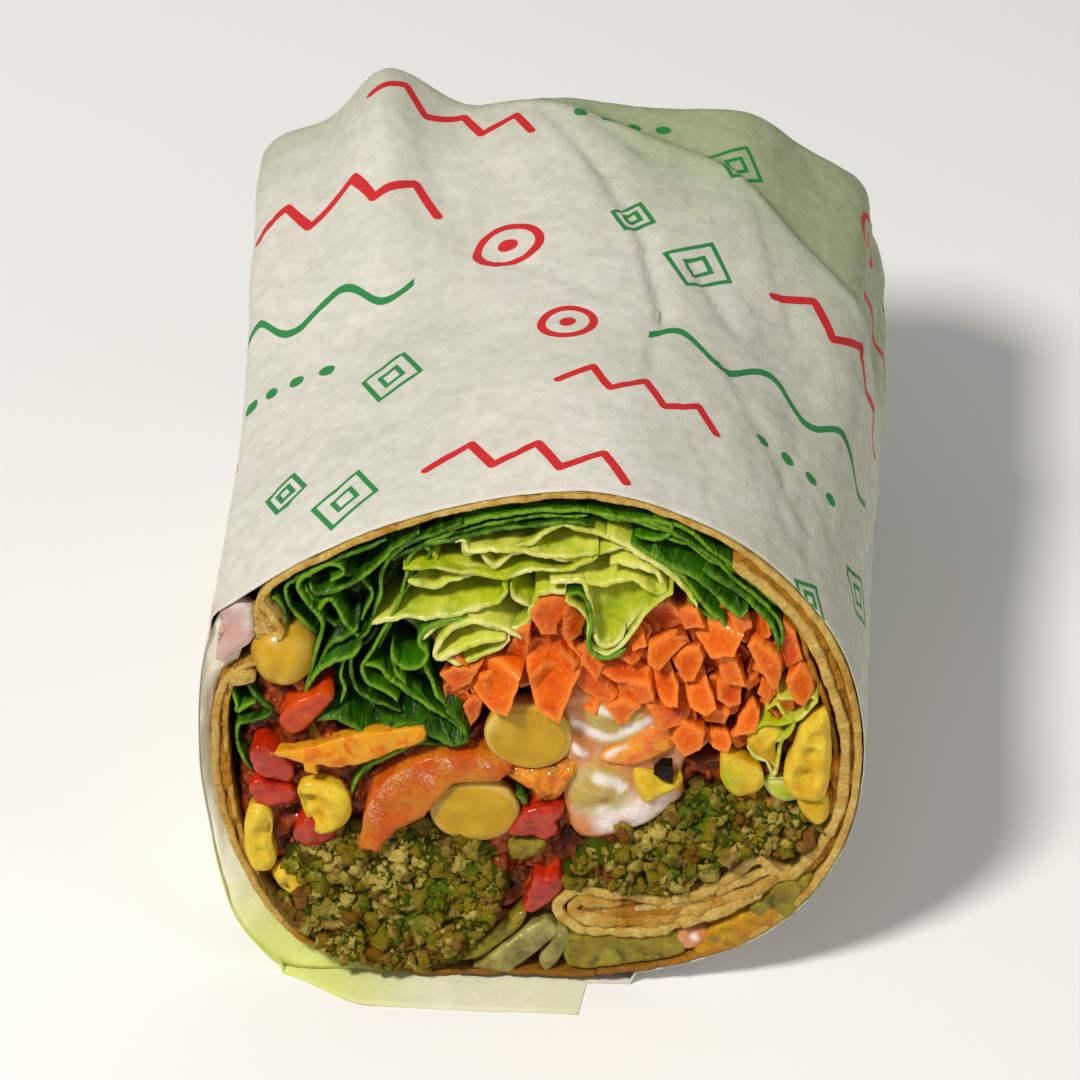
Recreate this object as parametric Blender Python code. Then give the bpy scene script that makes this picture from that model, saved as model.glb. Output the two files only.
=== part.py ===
"""Half of a falafel wrap, cut across and left standing on its side in its paper.

The wrap lies along +Y: its cut face looks towards -Y and leans back, its folded end is at +Y, and it rests
on z = 0. Every piece is first laid out in the wrap's own straight space, in millimetres: u runs across the
cut face, w runs up along it, and d runs from the face into the wrap. wrap_form() then bends that space into
the real one, in metres, so pieces that keep apart in the straight space keep apart in the model.
"""

import math
import random

import bmesh
import bpy
from mathutils import Euler, Vector

# Driving dimensions, in millimetres and degrees.
LENGTH = 106.0  # of the tortilla, from the foot of the cut face to the closed end
LEAN = math.radians(12.0)  # how far the cut face leans back
FLAT_ANGLE = 2.0  # neighbouring faces that turn by less are one face
END_LOWER = 0.11  # how much lower the closed end is than the cut face
END_NARROWER = 0.03
TORTILLA_LIFT = 0.9  # height of the tortilla's underside, which lies on the paper
PAPER = 0.4  # thickness of the paper
GAP = 0.35  # kept between neighbours
END_ROUND = 9.0  # radius of the closed end's edge
FILLING_END = 94.0  # depth at which the fillings stop
STICK = 3.0  # thickness of a stick of shredded carrot
STICK_STEP = (6, 5)  # spacing of the sticks that stand out, across and up the face
SLAB_DEPTH = 12.0  # length of the thick slice of carrot
POCKET_FRONT = -14.0  # how far in front of the cut face a pocket's cutter starts
TAIL = 6.0  # how far the paper's lower edge runs out in front of the cut face
TAIL_END = 6.4  # where that tail stops across the face
STATIONS = (0, 4, 9, 14, 97)  # depths at which the tortilla's wall has a ring
EAR = 3.0  # height of the paper's folded corner over the closed end
EAR_AT = -27.0  # where that corner is across the wrap
EAR_WIDE = 9.0

# The tortilla's outline on the cut face, without its pleat.
OUTER = (
    (8, 0.6), (22, 4), (33, 11.5), (39.8, 24), (40.9, 40), (36, 54.6), (24, 66.6), (8, 72.6),
    (-8.3, 70.8), (-25.2, 64.2), (-38, 54.2), (-42.2, 36), (-40, 19), (-32, 5), (-18, 0), (-5, 0),
)
# The space inside it, which goes round the tongue where the tortilla's inner end is rolled flat.
CAVITY = (
    (2.4, 70.2), (13.1, 69.2), (22.8, 63.7), (30.3, 56.4), (34.9, 48.4), (37.4, 39.5), (37.9, 31),
    (36.9, 25.6), (33.6, 22.7), (29, 21.2), (21, 17.4), (9.5, 14.5), (3, 12.9), (1, 11), (2.4, 8.8),
    (8, 7.4), (16, 7.7), (24, 9.6), (29.6, 13.2), (32.4, 16.8), (34.5, 15.4), (31.8, 11), (26.5, 7.6),
    (17.3, 4.9), (7, 2.6), (-5, 2), (-16, 2), (-24.5, 3), (-31, 7), (-35.4, 12.8), (-38.2, 20.5),
    (-40, 36), (-38.6, 46.5), (-35.6, 53.4), (-24.4, 62.4), (-8, 68.6),
)
PLEAT_AT = (-40.5, 50.2)  # where the tortilla is pressed in
PLEAT_TO = (0.96, -0.28)  # the way it is pressed
PLEAT_DEEP = 5.5
PLEAT_WIDE = 4.6
PLEAT_LONG = 14.0  # how far into the wrap the pleat runs
# Where the paper stands off the tortilla, from its upper left corner down to the floor: it follows the
# tortilla's outline everywhere else.
PAPER_LEFT = ((-39.6, 54.4), (-44.4, 40), (-43.6, 26), (-41, 13), (-36.4, 3.6), (-29, -0.92), (-12, -0.92))

# Fillings that run through the wrap, by their outlines on the cut face.
FALAFEL_LEFT = (
    (-31.6, 18), (-25, 22), (-17.5, 23.4), (-9, 22), (-4.8, 17.5), (-4.6, 11.5), (-8.6, 5), (-16.5, 3),
    (-24.5, 4.2), (-30, 8.8), (-32.6, 14),
)
FALAFEL_RIGHT = (
    (4.2, 15.3), (8.5, 20), (14, 26.2), (21.5, 29.4), (29, 28.4), (34.8, 27), (35.2, 25), (31, 22.9),
    (26, 20.8), (18, 17.4), (10, 15.4),
)
CARROTS = (
    (-12.4, 43.6), (-5.4, 50.4), (-0.8, 57.2), (6, 57.4), (17, 57.4), (25, 56.8), (31.4, 52),
    (35.2, 44.5), (34, 41), (30.2, 39), (24.5, 34.6), (19.5, 33.6), (15, 38), (9, 40), (2, 41),
    (-4.9, 40.6), (-8.6, 38),
)
PALE_LETTUCE = (
    (-15.5, 61), (-10.2, 64.4), (-1.5, 66.2), (6.7, 66), (12.5, 64), (17.2, 60.4), (19.6, 57.8),
    (15.6, 55), (12.5, 51.6), (9.4, 48.8), (7.2, 51.4), (6, 57), (-1.2, 57.9), (-4.6, 52.6),
    (-8.8, 47.9), (-13, 46.8), (-17, 49), (-19.6, 52), (-17, 57),
)
TOP_LEAVES = (
    (-12, 66), (-7.6, 67.8), (2.4, 69.4), (12.7, 68.4), (22, 63), (29.5, 55.8), (34, 48.4), (32, 49),
    (29.4, 54.2), (26.8, 54.6), (24.2, 53), (21.4, 58), (17.8, 61.6), (12.8, 64.8), (6.8, 66.8),
    (-1.6, 67), (-9.6, 65.4),
)
LEFT_LEAVES = (
    (-33.8, 53.8), (-24, 61.6), (-13, 65.4), (-16.4, 60.6), (-18.2, 56.8), (-20.6, 52), (-17.6, 47.8),
    (-13.4, 45.4), (-9.6, 38), (-11.6, 34.2), (-19, 35.4), (-27.4, 38.8), (-26.4, 41), (-29, 43.2),
    (-28.4, 49.6), (-32.2, 51.6),
)
SIDE_LEAF = ((-38.6, 44.6), (-36.4, 43.6), (-35, 39.2), (-36.4, 36), (-36.6, 31.4), (-38.2, 33), (-39, 39))
RIGHT_LETTUCE = ((25.4, 35.4), (29.8, 38.6), (33.6, 40.6), (36.4, 40.4), (32, 36.2), (30, 31.4), (26.4, 30.6))
SALSA = (
    (-38.4, 31), (-36.8, 41), (-33, 43), (-30.6, 41.6), (-28.4, 37.8), (-20, 34.6), (-11.4, 33.4),
    (-8, 37), (-4.4, 40), (2, 40.4), (9, 39.4), (14.6, 37.2), (19.4, 32.8), (24.2, 33.8), (21.5, 30),
    (13.6, 26.8), (8, 20.6), (3.4, 15.4), (0.2, 12), (-0.2, 8.6), (0.6, 4), (-6, 2.8), (-7.8, 5),
    (-4, 11.5), (-4.2, 17.7), (-8.8, 22.6), (-17.5, 24), (-25.2, 22.6), (-31.4, 19), (-36.8, 23),
)
SAUCE = ((4.8, 42.2), (8.6, 40.4), (8.4, 36), (11.6, 31), (16.2, 27.6), (14.8, 24.6), (8.6, 23.6), (5, 27),
         (5.6, 33))
PICKLES = ((3.4, 6.6), (8.4, 6.4), (16, 6.8), (22, 7.8), (16.6, 5.6), (7.4, 3.3), (2.4, 3.2))
YELLOW_PEPPER = ((23.4, 8.1), (28.8, 11.4), (32.6, 15.4), (33.8, 14.9), (31, 11), (26.8, 8.4))
CARROT_SLAB = ((-22.4, 20.6), (-20.8, 29.6), (-13.3, 33.6), (-6.8, 34.4), (-5.8, 31.4), (-13.3, 27.4),
               (-19.7, 23.4))
CARROT_STRIP = ((-33.6, 33.2), (-25.4, 36.6), (-13.8, 38.2), (-22.5, 34.2), (-29, 32.4))
ONIONS = (
    ((-8.4, 2.6), (-2.2, 8.8), (0.4, 9.6), (-4.2, 4.6), (-6.2, 2.6)),
    ((-4.6, 2.7), (-1, 6.2), (0.8, 7.8), (0.4, 5.2), (-2.2, 2.7)),
)

# Small pieces: name, middle (u, d, w), half sizes (u, d, w), tilt in the face in degrees.
CUT_CHICKPEAS = (
    ("chickpea_upper", (-1.5, 0, 36.8), (5.8, 6.5, 4.9), 8),
    ("chickpea_lower", (-8.3, 0, 25.1), (5.9, 6.5, 4.6), -4),
)
CHICKPEAS = (
    ("chickpea_whole", (-32.9, 2.2, 47.2), (4.3, 4.6, 4.4), 20),
    ("chickpea_back", (-27.6, 6.2, 32.6), (4.4, 5.2, 3.9), 0),
    ("chickpea_sauced", (8.6, 5.4, 28.6), (4.4, 5.2, 4.2), 0),
)
KERNELS = (
    ("corn_1", (-36, 2.6, 20.4), (2.3, 4.4, 5.0), 10),
    ("corn_2", (-27.6, 3, 25.8), (3.6, 4.8, 3.3), -30),
    ("corn_3", (-32, 3.4, 13.4), (3.2, 4.8, 2.5), -40),
    ("corn_4", (34.2, 2.6, 35.6), (2.5, 4.6, 4.7), -14),
    ("corn_5", (25.6, 3.4, 32.4), (3.2, 4.6, 2.3), 12),
    ("corn_6", (34.6, 3.4, 29.4), (2.0, 4.4, 1.7), 20),
    ("corn_7", (15.3, 3.4, 30.2), (3.3, 4.6, 2.6), -10),
)
CUBES = (
    ("pepper_red_1", (-34.2, 4, 33.4), (2.7, 5.4, 3.7), 12),
    ("pepper_red_2", (-33.9, 3.6, 26.6), (2.6, 5.2, 2.5), -14),
    ("pepper_red_3", (-29.4, 4, 21.2), (2.8, 5.2, 2.2), 32),
    ("pepper_red_4", (0.3, 4, 22.4), (2.5, 5.2, 2.1), -12),
    ("pepper_red_5", (0.4, 3.6, 12.9), (2.2, 4.8, 2.6), 24),
    ("pepper_orange", (-30.2, 4, 39.6), (2.7, 5.2, 3.0), -22),
    ("tomato_sauced", (13.2, 3.6, 34.0), (3.4, 5.0, 2.0), 16),
    ("pickle_bit", (-1.6, 4.4, 18.0), (2.2, 5.0, 1.5), 6),
)

# Colour, roughness and metallic value of each kind of piece.
FINISHES = {
    "paper": ((0.80, 0.80, 0.74), 0.8, 0.0),
    "tortilla": ((0.66, 0.50, 0.28), 0.75, 0.0),
    "leaf": ((0.05, 0.20, 0.02), 0.4, 0.0),
    "lettuce": ((0.45, 0.58, 0.12), 0.4, 0.0),
    "carrot": ((0.90, 0.22, 0.02), 0.4, 0.0),
    "falafel": ((0.26, 0.24, 0.07), 0.85, 0.0),
    "salsa": ((0.60, 0.12, 0.03), 0.35, 0.0),
    "sauce": ((0.85, 0.83, 0.75), 0.2, 0.0),
    "chickpea": ((0.60, 0.44, 0.06), 0.45, 0.0),
    "corn": ((0.88, 0.58, 0.04), 0.35, 0.0),
    "pepper": ((0.70, 0.03, 0.01), 0.25, 0.0),
    "pickle": ((0.40, 0.40, 0.10), 0.3, 0.0),
    "onion": ((0.70, 0.68, 0.45), 0.3, 0.0),
}


def smooth_loop(points, steps=3):
    """A closed Catmull-Rom curve through the points, with the given steps between each two."""
    spots = [Vector(p) for p in points]
    count = len(spots)
    loop = []
    for i in range(count):
        a, b, c, d = (spots[(i + k) % count] for k in (-1, 0, 1, 2))
        for step in range(steps):
            t = step / steps
            bend = (c - a) * t + (2 * a - 5 * b + 4 * c - d) * t**2 + (3 * b - a - 3 * c + d) * t**3
            loop.append(b + bend * 0.5)
    return loop


def signed_area(loop):
    """The loop's area, positive when it runs anticlockwise."""
    pairs = zip(loop, loop[1:] + loop[:1])
    return sum(a.x * b.y - b.x * a.y for a, b in pairs) / 2


def grown(loop, distance):
    """The loop moved outwards by a distance, or inwards by a negative one."""
    side = 1 if signed_area(loop) > 0 else -1
    result = []
    for i, here in enumerate(loop):
        before = (here - loop[i - 1]).normalized()
        after = (loop[(i + 1) % len(loop)] - here).normalized()
        outward = Vector((before.y + after.y, -before.x - after.x)).normalized() * side
        mitre = max(0.5, abs(outward.dot(Vector((after.y, -after.x)))))
        result.append(here + outward * distance / mitre)
    return result


def shrunk(loop, middle, factor):
    """The loop scaled about a middle."""
    centre = Vector(middle)
    return [centre + (p - centre) * factor for p in loop]


def eased(t):
    """Rises smoothly from 0 to 1 as t does."""
    t = min(1.0, max(0.0, t))
    return t * t * (3 - 2 * t)


def bump(p, at, wide):
    """1 at a place on the face and 0 far from it."""
    return math.exp(-((p - Vector(at)).length / wide) ** 2)


def pleated(loop, depth):
    """The loop pressed in where the tortilla has its pleat, which fades into the wrap."""
    fade = PLEAT_DEEP * (1 - eased(depth / PLEAT_LONG))
    return [p + Vector(PLEAT_TO) * fade * bump(p, PLEAT_AT, PLEAT_WIDE) for p in loop]


def wrap_form(spot):
    """Takes (u, d, w) in millimetres in the straight space to (x, y, z) in metres."""
    u, d, w = spot
    t = d / LENGTH
    lower = 1 - END_LOWER * t if w > 0 else 1.0
    x = u * (1 - END_NARROWER * t)
    y = (1 - t) * w * math.sin(LEAN) + d
    z = max(0.0, TORTILLA_LIFT + w * math.cos(LEAN) * lower)
    return Vector((x, y, z)) * 0.001


def facing_out(bm):
    """Turns the faces of a closed mesh outwards."""
    bmesh.ops.recalc_face_normals(bm, faces=bm.faces)
    if bm.calc_volume(signed=True) < 0:
        bmesh.ops.reverse_faces(bm, faces=bm.faces)
    return bm


def loft(rings):
    """A closed solid through rings of (depth, loop), with flat caps."""
    bm = bmesh.new()
    rows = [[bm.verts.new((p.x, depth, p.y)) for p in loop] for depth, loop in rings]
    for near, far in zip(rows, rows[1:]):
        for i in range(len(near)):
            bm.faces.new((near[i - 1], near[i], far[i]))
            bm.faces.new((near[i - 1], far[i], far[i - 1]))
    bm.faces.new(rows[0])
    bm.faces.new(rows[-1])
    return facing_out(bm)


def prism(loop, near, far):
    """A loop drawn out from one depth to another."""
    return loft([(near, loop), (far, loop)])


def lump(loop, near, far, rough, seed):
    """A prism whose front is uneven: two inner rings and the middle stand in or out by up to rough."""
    dice = random.Random(seed)
    centre = sum(loop, Vector((0, 0))) / len(loop)
    bm = bmesh.new()
    rows = []
    for factor in (0.3, 0.62, 0.9):
        ring = shrunk(loop, centre, factor)
        rows.append([bm.verts.new((p.x, near + dice.uniform(-rough, rough), p.y)) for p in ring])
    rows.append([bm.verts.new((p.x, near + rough, p.y)) for p in loop])
    rows.append([bm.verts.new((p.x, far, p.y)) for p in loop])
    rows.append([bm.verts.new((p.x, far + 3, p.y)) for p in shrunk(loop, centre, 0.8)])
    middle = bm.verts.new((centre.x, near - rough, centre.y))
    for inner, outer in zip(rows, rows[1:]):
        for i in range(len(inner)):
            bm.faces.new((inner[i - 1], inner[i], outer[i], outer[i - 1]))
    for i in range(len(loop)):
        bm.faces.new((rows[0][i - 1], rows[0][i], middle))
    bm.faces.new(rows[-1])
    return facing_out(bm)


def place(bm, middle, tilt):
    """Tilts a small shape in the face and moves it to its middle."""
    turn = Euler((0, math.radians(tilt), 0)).to_matrix()
    for v in bm.verts:
        v.co = turn @ v.co + Vector(middle)
    return facing_out(bm)


def ball(middle, half, tilt):
    """A chickpea: an egg-shaped ball with a crease down its front."""
    bm = bmesh.new()
    bmesh.ops.create_uvsphere(bm, u_segments=12, v_segments=8, radius=1)
    for v in bm.verts:
        x, y, z = v.co
        crease = 1 - 0.12 * math.exp(-((x / 0.22) ** 2)) * max(0.0, -y)
        v.co = Vector((x * half[0] * (1 + 0.08 * z), y * half[1] * crease, z * half[2]))
    return place(bm, middle, tilt)


def half_ball(middle, half, tilt):
    """A chickpea cut in two: a round flat face on the cut and a rounded back."""
    bm = bmesh.new()
    bmesh.ops.create_uvsphere(bm, u_segments=16, v_segments=8, radius=1)
    bmesh.ops.rotate(bm, verts=bm.verts, matrix=Euler((math.radians(90), 0, 0)).to_matrix())
    cut = bmesh.ops.bisect_plane(
        bm, geom=bm.verts[:] + bm.edges[:] + bm.faces[:], plane_co=(0, -0.02, 0), plane_no=(0, -1, 0),
        clear_outer=True,
    )
    rim = [e for e in cut["geom_cut"] if isinstance(e, bmesh.types.BMEdge)]
    bmesh.ops.edgeloop_fill(bm, edges=rim)
    for v in bm.verts:
        v.co = Vector((v.co.x * half[0], v.co.y * half[1], v.co.z * half[2]))
    return place(bm, middle, tilt)


def kernel(middle, half, tilt):
    """A corn kernel: wide and rounded at its front, narrow at its root."""
    bm = bmesh.new()
    bmesh.ops.create_uvsphere(bm, u_segments=12, v_segments=8, radius=1)
    for v in bm.verts:
        x, y, z = (math.copysign(abs(c) ** 0.75, c) for c in v.co)
        narrow = 1 - 0.28 * (y + 1) / 2
        v.co = Vector((x * half[0] * narrow, y * half[1], z * half[2] * narrow))
    return place(bm, middle, tilt)


def cube(middle, half, tilt):
    """A diced piece of pepper: a block with worn edges, a little askew."""
    bm = bmesh.new()
    bmesh.ops.create_cube(bm, size=2)
    for v in bm.verts:
        x, y, z = v.co
        v.co = Vector((half[0] * (x + 0.12 * z), half[1] * y, half[2] * (z - 0.14 * x)))
    bmesh.ops.bevel(bm, geom=bm.edges[:], offset=min(half) * 0.35, segments=1, affect="EDGES")
    return place(bm, middle, tilt)


def pocket(bm):
    """The space that a rounded piece needs in its neighbours, open to the front."""
    middle = sum((v.co for v in bm.verts), Vector()) / len(bm.verts)
    cutter = bmesh.new()
    for v in bm.verts:
        away = v.co - middle
        spot = v.co + away.normalized() * GAP * 1.25
        cutter.verts.new(spot)
        cutter.verts.new((spot.x, POCKET_FRONT, spot.z))
    hull = bmesh.ops.convex_hull(cutter, input=cutter.verts[:])
    inside = {v for v in hull["geom_interior"] + hull["geom_unused"] if isinstance(v, bmesh.types.BMVert)}
    bmesh.ops.delete(cutter, geom=list(inside), context="VERTS")
    return facing_out(cutter)


def as_object(name, bm):
    """Puts a mesh in the scene."""
    mesh = bpy.data.meshes.new(name)
    bm.to_mesh(mesh)
    item = bpy.data.objects.new(name, mesh)
    bpy.context.scene.collection.objects.link(item)
    return item


def combined(bm, other, operation):
    """One closed mesh with another taken from it or joined to it."""
    base = as_object("base", bm)
    tool = as_object("tool", other)
    step = base.modifiers.new("step", "BOOLEAN")
    step.operation = operation
    step.object = tool
    step.solver = "EXACT"
    bpy.context.view_layer.update()
    mesh = bpy.data.meshes.new_from_object(base.evaluated_get(bpy.context.evaluated_depsgraph_get()))
    result = bmesh.new()
    result.from_mesh(mesh)
    for item in (base, tool):
        bpy.data.objects.remove(item)
    return result


def largest_body(bm):
    """Leaves only the largest of a mesh's separate bodies."""
    left = set(bm.verts)
    bodies = []
    while left:
        body = set()
        edge_of = [left.pop()]
        while edge_of:
            v = edge_of.pop()
            body.add(v)
            near = {e.other_vert(v) for e in v.link_edges} & left
            left -= near
            edge_of += near
        bodies.append(body)
    bodies.sort(key=lambda body: (len(body), max(v.co.y for v in body) - min(v.co.y for v in body)))
    extra = [v for body in bodies[:-1] for v in body]
    bmesh.ops.delete(bm, geom=extra, context="VERTS")
    return bm


def apart(one, two):
    """Whether the boxes of two meshes don't meet."""
    for axis in range(3):
        a = [v.co[axis] for v in one.verts]
        b = [v.co[axis] for v in two.verts]
        if min(a) > max(b) or min(b) > max(a):
            return True
    return False


def carved(bm, cutters):
    """What a piece keeps inside the tortilla, without the space that its neighbours need."""
    bm = combined(bm, hollow(POCKET_FRONT, FILLING_END, GAP), "INTERSECT")
    for cutter in cutters:
        if not apart(bm, cutter):
            bm = combined(bm, cutter, "DIFFERENCE")
    return largest_body(bm)


def paint(item, finish):
    """Gives a piece its finish."""
    material = bpy.data.materials.get(finish)
    if material is None:
        colour, roughness, metallic = FINISHES[finish]
        material = bpy.data.materials.new(finish)
        material.use_nodes = True
        shader = material.node_tree.nodes["Principled BSDF"]
        shader.inputs["Base Color"].default_value = (*colour, 1)
        shader.inputs["Roughness"].default_value = roughness
        shader.inputs["Metallic"].default_value = metallic
    item.data.materials.clear()
    item.data.materials.append(material)


def settle(name, bm, finish, angle=40):
    """Bends a finished mesh into the wrap's real form and puts it in the scene as a node."""
    bmesh.ops.remove_doubles(bm, verts=bm.verts, dist=0.01)
    bmesh.ops.dissolve_degenerate(bm, edges=bm.edges, dist=0.005)
    flat = math.radians(FLAT_ANGLE)
    bmesh.ops.dissolve_limit(bm, angle_limit=flat, verts=bm.verts, edges=bm.edges)
    bmesh.ops.triangulate(bm, faces=[f for f in bm.faces if len(f.verts) > 4])
    for v in bm.verts:
        v.co = wrap_form(v.co)
    item = as_object(name, facing_out(bm))
    item.data.shade_smooth()
    item.data.set_sharp_from_angle(angle=math.radians(angle))
    paint(item, finish)
    return item


def end_rings(loop, depth, reach, middle):
    """Rings that close a loop round its middle with a rounded edge, up to a depth."""
    rings = []
    for k in range(1, 4):
        angle = math.radians(90 * k / 3)
        inward = reach * (1 - math.cos(angle))
        ring = shrunk(grown(loop, -0.4 * inward), middle, 1 - 0.6 * inward / 36)
        rings.append((depth - reach + reach * math.sin(angle), ring))
    return rings


def hollow(front, end, inset):
    """The space inside the tortilla, between two depths and an inset from its wall."""
    loop = smooth_loop(CAVITY, 2)
    return loft([(d, grown(pleated(loop, d), -inset)) for d in (front, *STATIONS[:-1], end)])


def tortilla():
    """The rolled bread: a wall round the fillings, a closed end and the flat tongue of its inner end."""
    outer = smooth_loop(OUTER, 3)
    body = [(d, pleated(outer, d)) for d in STATIONS]
    body += end_rings(outer, LENGTH, END_ROUND, (0, 34))
    return combined(loft(body), hollow(-5, FILLING_END + 4, 0), "DIFFERENCE")


def paper_loop():
    """The outer side of the paper round the tortilla."""
    around = grown([Vector(p) for p in OUTER], GAP + PAPER + 0.15)
    return smooth_loop(around[:10] + [Vector(p) for p in PAPER_LEFT], 3)


def paper_rings(thickness):
    """The paper's rings, from its front edge to its folded end, a thickness inside the outer side."""
    base = grown(paper_loop(), -thickness)
    floor = -TORTILLA_LIFT / math.cos(LEAN) + thickness

    def at(depth_of, ear):
        ring = []
        for p in base:
            raised = ear * EAR * math.exp(-(((p.x - EAR_AT) / EAR_WIDE) ** 2)) * eased((p.y - 40) / 15)
            low = p.y < 1.2 and -34 < p.x < 13
            ring.append(Vector((p.x, depth_of(p), floor if low else max(floor, p.y + raised))))
        return ring

    def front(p):
        if p.x > TAIL_END or p.y > 24:
            return 0.0
        return -TAIL * eased((p.x + 42) / 13) * eased((16 - p.y) / 10)

    rings = [at(front, 0)]
    rings += [at(lambda p, d=d: d, ear) for d, ear in ((8, 0), (60, 0), (85, 0.3), (98, 0.9))]
    last = LENGTH + GAP * 2 + PAPER - thickness
    closing = ((last - 2.4, 1.0, 1.0), (last - 0.6, 0.975, 1.0), (last, 0.93, 0.6), (last, 0.45, 0.0))
    for depth, size, ear in closing:
        ring = at(lambda p, d=depth: d, ear)
        rings.append([Vector((v.x * size, v.y, 30 + (v.z - 30) * (size if v.z > 1 else 1))) for v in ring])
    return rings


def paper():
    """The greaseproof paper: a thin tube round the tortilla, folded shut at its far end."""
    bm = bmesh.new()
    sides = []
    for thickness in (0.0, PAPER):
        rows = [[bm.verts.new(v) for v in ring] for ring in paper_rings(thickness)]
        for near, far in zip(rows, rows[1:]):
            for i in range(len(near)):
                bm.faces.new((near[i - 1], near[i], far[i], far[i - 1]))
        bm.faces.new(rows[-1])
        sides.append(rows)
    outer, inner = sides[0][0], sides[1][0]
    for i in range(len(outer)):
        bm.faces.new((outer[i - 1], outer[i], inner[i], inner[i - 1]))
    return facing_out(bm)


def holds(loop, u, w):
    """Whether a place on the face is inside the loop."""
    inside = False
    for a, b in zip(loop, loop[1:] + loop[:1]):
        if (a.y > w) != (b.y > w) and u < a.x + (w - a.y) * (b.x - a.x) / (b.y - a.y):
            inside = not inside
    return inside


def carrot_sticks(core):
    """The heap of shredded carrot: a core with the square ends of sticks standing out of its front."""
    dice = random.Random(7)
    loop = smooth_loop(grown([Vector(p) for p in CARROTS], -2.2), 2)
    columns = range(math.ceil(min(p.x for p in loop)), int(max(p.x for p in loop)), STICK_STEP[0])
    rows = range(math.ceil(min(p.y for p in loop)), int(max(p.y for p in loop)), STICK_STEP[1])
    for u, w in ((u, w) for w in rows for u in columns if holds(loop, u, w)):
        bm = bmesh.new()
        bmesh.ops.create_cube(bm, size=2)
        reach = dice.uniform(0.6, 1.8)
        for v in bm.verts:
            v.co = Vector((v.co.x * dice.uniform(1.4, 1.7), v.co.y * 5 + 5 - reach, v.co.z * STICK / 2))
        place(bm, (u + dice.uniform(-0.6, 0.6), 0, w + dice.uniform(-0.6, 0.6)), dice.uniform(-30, 30))
        core = combined(core, bm, "UNION")
    return core


def rippled(points, reach, waves, steps=4):
    """A smooth loop whose edge ripples as a leaf's does."""
    loop = smooth_loop(points, steps)
    count = len(loop)
    inward = grown(loop, -1)
    result = []
    for i, p in enumerate(loop):
        share = reach * (0.5 - 0.5 * math.cos(2 * math.pi * waves * i / count))
        result.append(p + (inward[i] - p) * share)
    return result


def small_pieces():
    """Every diced, cut or whole small piece, in order of which keeps its full shape: name, mesh, finish."""
    pieces = []
    pieces += [(name, half_ball(*size), "chickpea") for name, *size in CUT_CHICKPEAS]
    pieces += [(name, ball(*size), "chickpea") for name, *size in CHICKPEAS]
    pieces += [(name, kernel(*size), "corn") for name, *size in KERNELS]
    pieces += [(name, cube(*size), "pickle" if "pickle" in name else "pepper") for name, *size in CUBES]
    return pieces


def flat_pieces():
    """Pieces given by an outline: name, outline, front depth, end depth, finish."""
    deep = FILLING_END
    return [
        ("carrot_strip", smooth_loop(CARROT_STRIP), -0.6, 4, "carrot"),
        ("carrot_slab", smooth_loop(CARROT_SLAB), -0.3, SLAB_DEPTH, "carrot"),
        ("leaf_side", rippled(SIDE_LEAF, 0.3, 4), 0, 24, "leaf"),
        ("sauce", smooth_loop(SAUCE), -0.4, 9, "sauce"),
        ("onion_1", smooth_loop(ONIONS[0]), 0.2, 22, "onion"),
        ("onion_2", smooth_loop(ONIONS[1]), 0.6, 22, "onion"),
        ("pickles", smooth_loop(PICKLES), 1.0, deep, "pickle"),
        ("pepper_yellow", smooth_loop(YELLOW_PEPPER), 1.0, 30, "corn"),
        ("leaves_left", rippled(LEFT_LEAVES, 0.7, 13), 0, deep, "leaf"),
        ("leaves_top", rippled(TOP_LEAVES, 0.3, 11), 0, deep, "leaf"),
        ("lettuce_pale", rippled(PALE_LETTUCE, 0.6, 12), 0, deep, "lettuce"),
        ("lettuce_right", rippled(RIGHT_LETTUCE, 0.3, 5), 0.5, 30, "lettuce"),
    ]


def fillings():
    """Carves each filling to make room for the ones before it, and settles them all."""
    cutters = []
    for name, bm, finish in small_pieces():
        room = pocket(bm)
        settle(name, carved(bm, cutters), finish)
        cutters.append(room)
    for name, loop, near, far, finish in flat_pieces():
        room = prism(grown(loop, GAP), POCKET_FRONT, far + GAP)
        settle(name, carved(prism(loop, near, far), cutters), finish, 30)
        cutters.append(room)
    for seed, (name, points) in enumerate((("falafel_left", FALAFEL_LEFT), ("falafel_right", FALAFEL_RIGHT))):
        loop = smooth_loop(points)
        bm = lump(loop, 0, FILLING_END - 3, 0.7, seed)
        settle(name, carved(bm, cutters), "falafel", 20)
        cutters.append(prism(grown(loop, GAP), POCKET_FRONT, FILLING_END + GAP))
    carrots = smooth_loop(CARROTS, 2)
    sticks = carrot_sticks(prism(carrots, 0.4, FILLING_END))
    settle("carrot_heap", carved(sticks, cutters), "carrot", 20)
    cutters.append(prism(grown(carrots, GAP), POCKET_FRONT, FILLING_END + GAP))
    settle("salsa", carved(prism(smooth_loop(SALSA, 2), 0.8, FILLING_END), cutters), "salsa", 30)


def centred():
    """Moves every piece so that the origin is under the middle of the whole, on the surface it rests on."""
    items = [o for o in bpy.data.objects if o.type == "MESH"]
    spots = [v.co for o in items for v in o.data.vertices]
    middle = [(min(s[k] for s in spots) + max(s[k] for s in spots)) / 2 for k in range(2)]
    move = Vector((-middle[0], -middle[1], -min(s.z for s in spots)))
    for item in items:
        for v in item.data.vertices:
            v.co += move


def main():
    """Builds the wrap."""
    for item in list(bpy.data.objects):
        bpy.data.objects.remove(item)
    settle("tortilla", tortilla(), "tortilla")
    settle("paper_wrap", paper(), "paper")
    fillings()
    centred()


main()
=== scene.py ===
"""Half of a falafel wrap, cut across and lying in its paper, finished round a fixed frame.

Pieces are laid out in the wrap's own straight space, in millimetres: u runs across the cut face, d runs
from the face into the wrap and w runs up along the face. wrap_form() bends that space into the real one, in
metres.
"""

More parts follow.
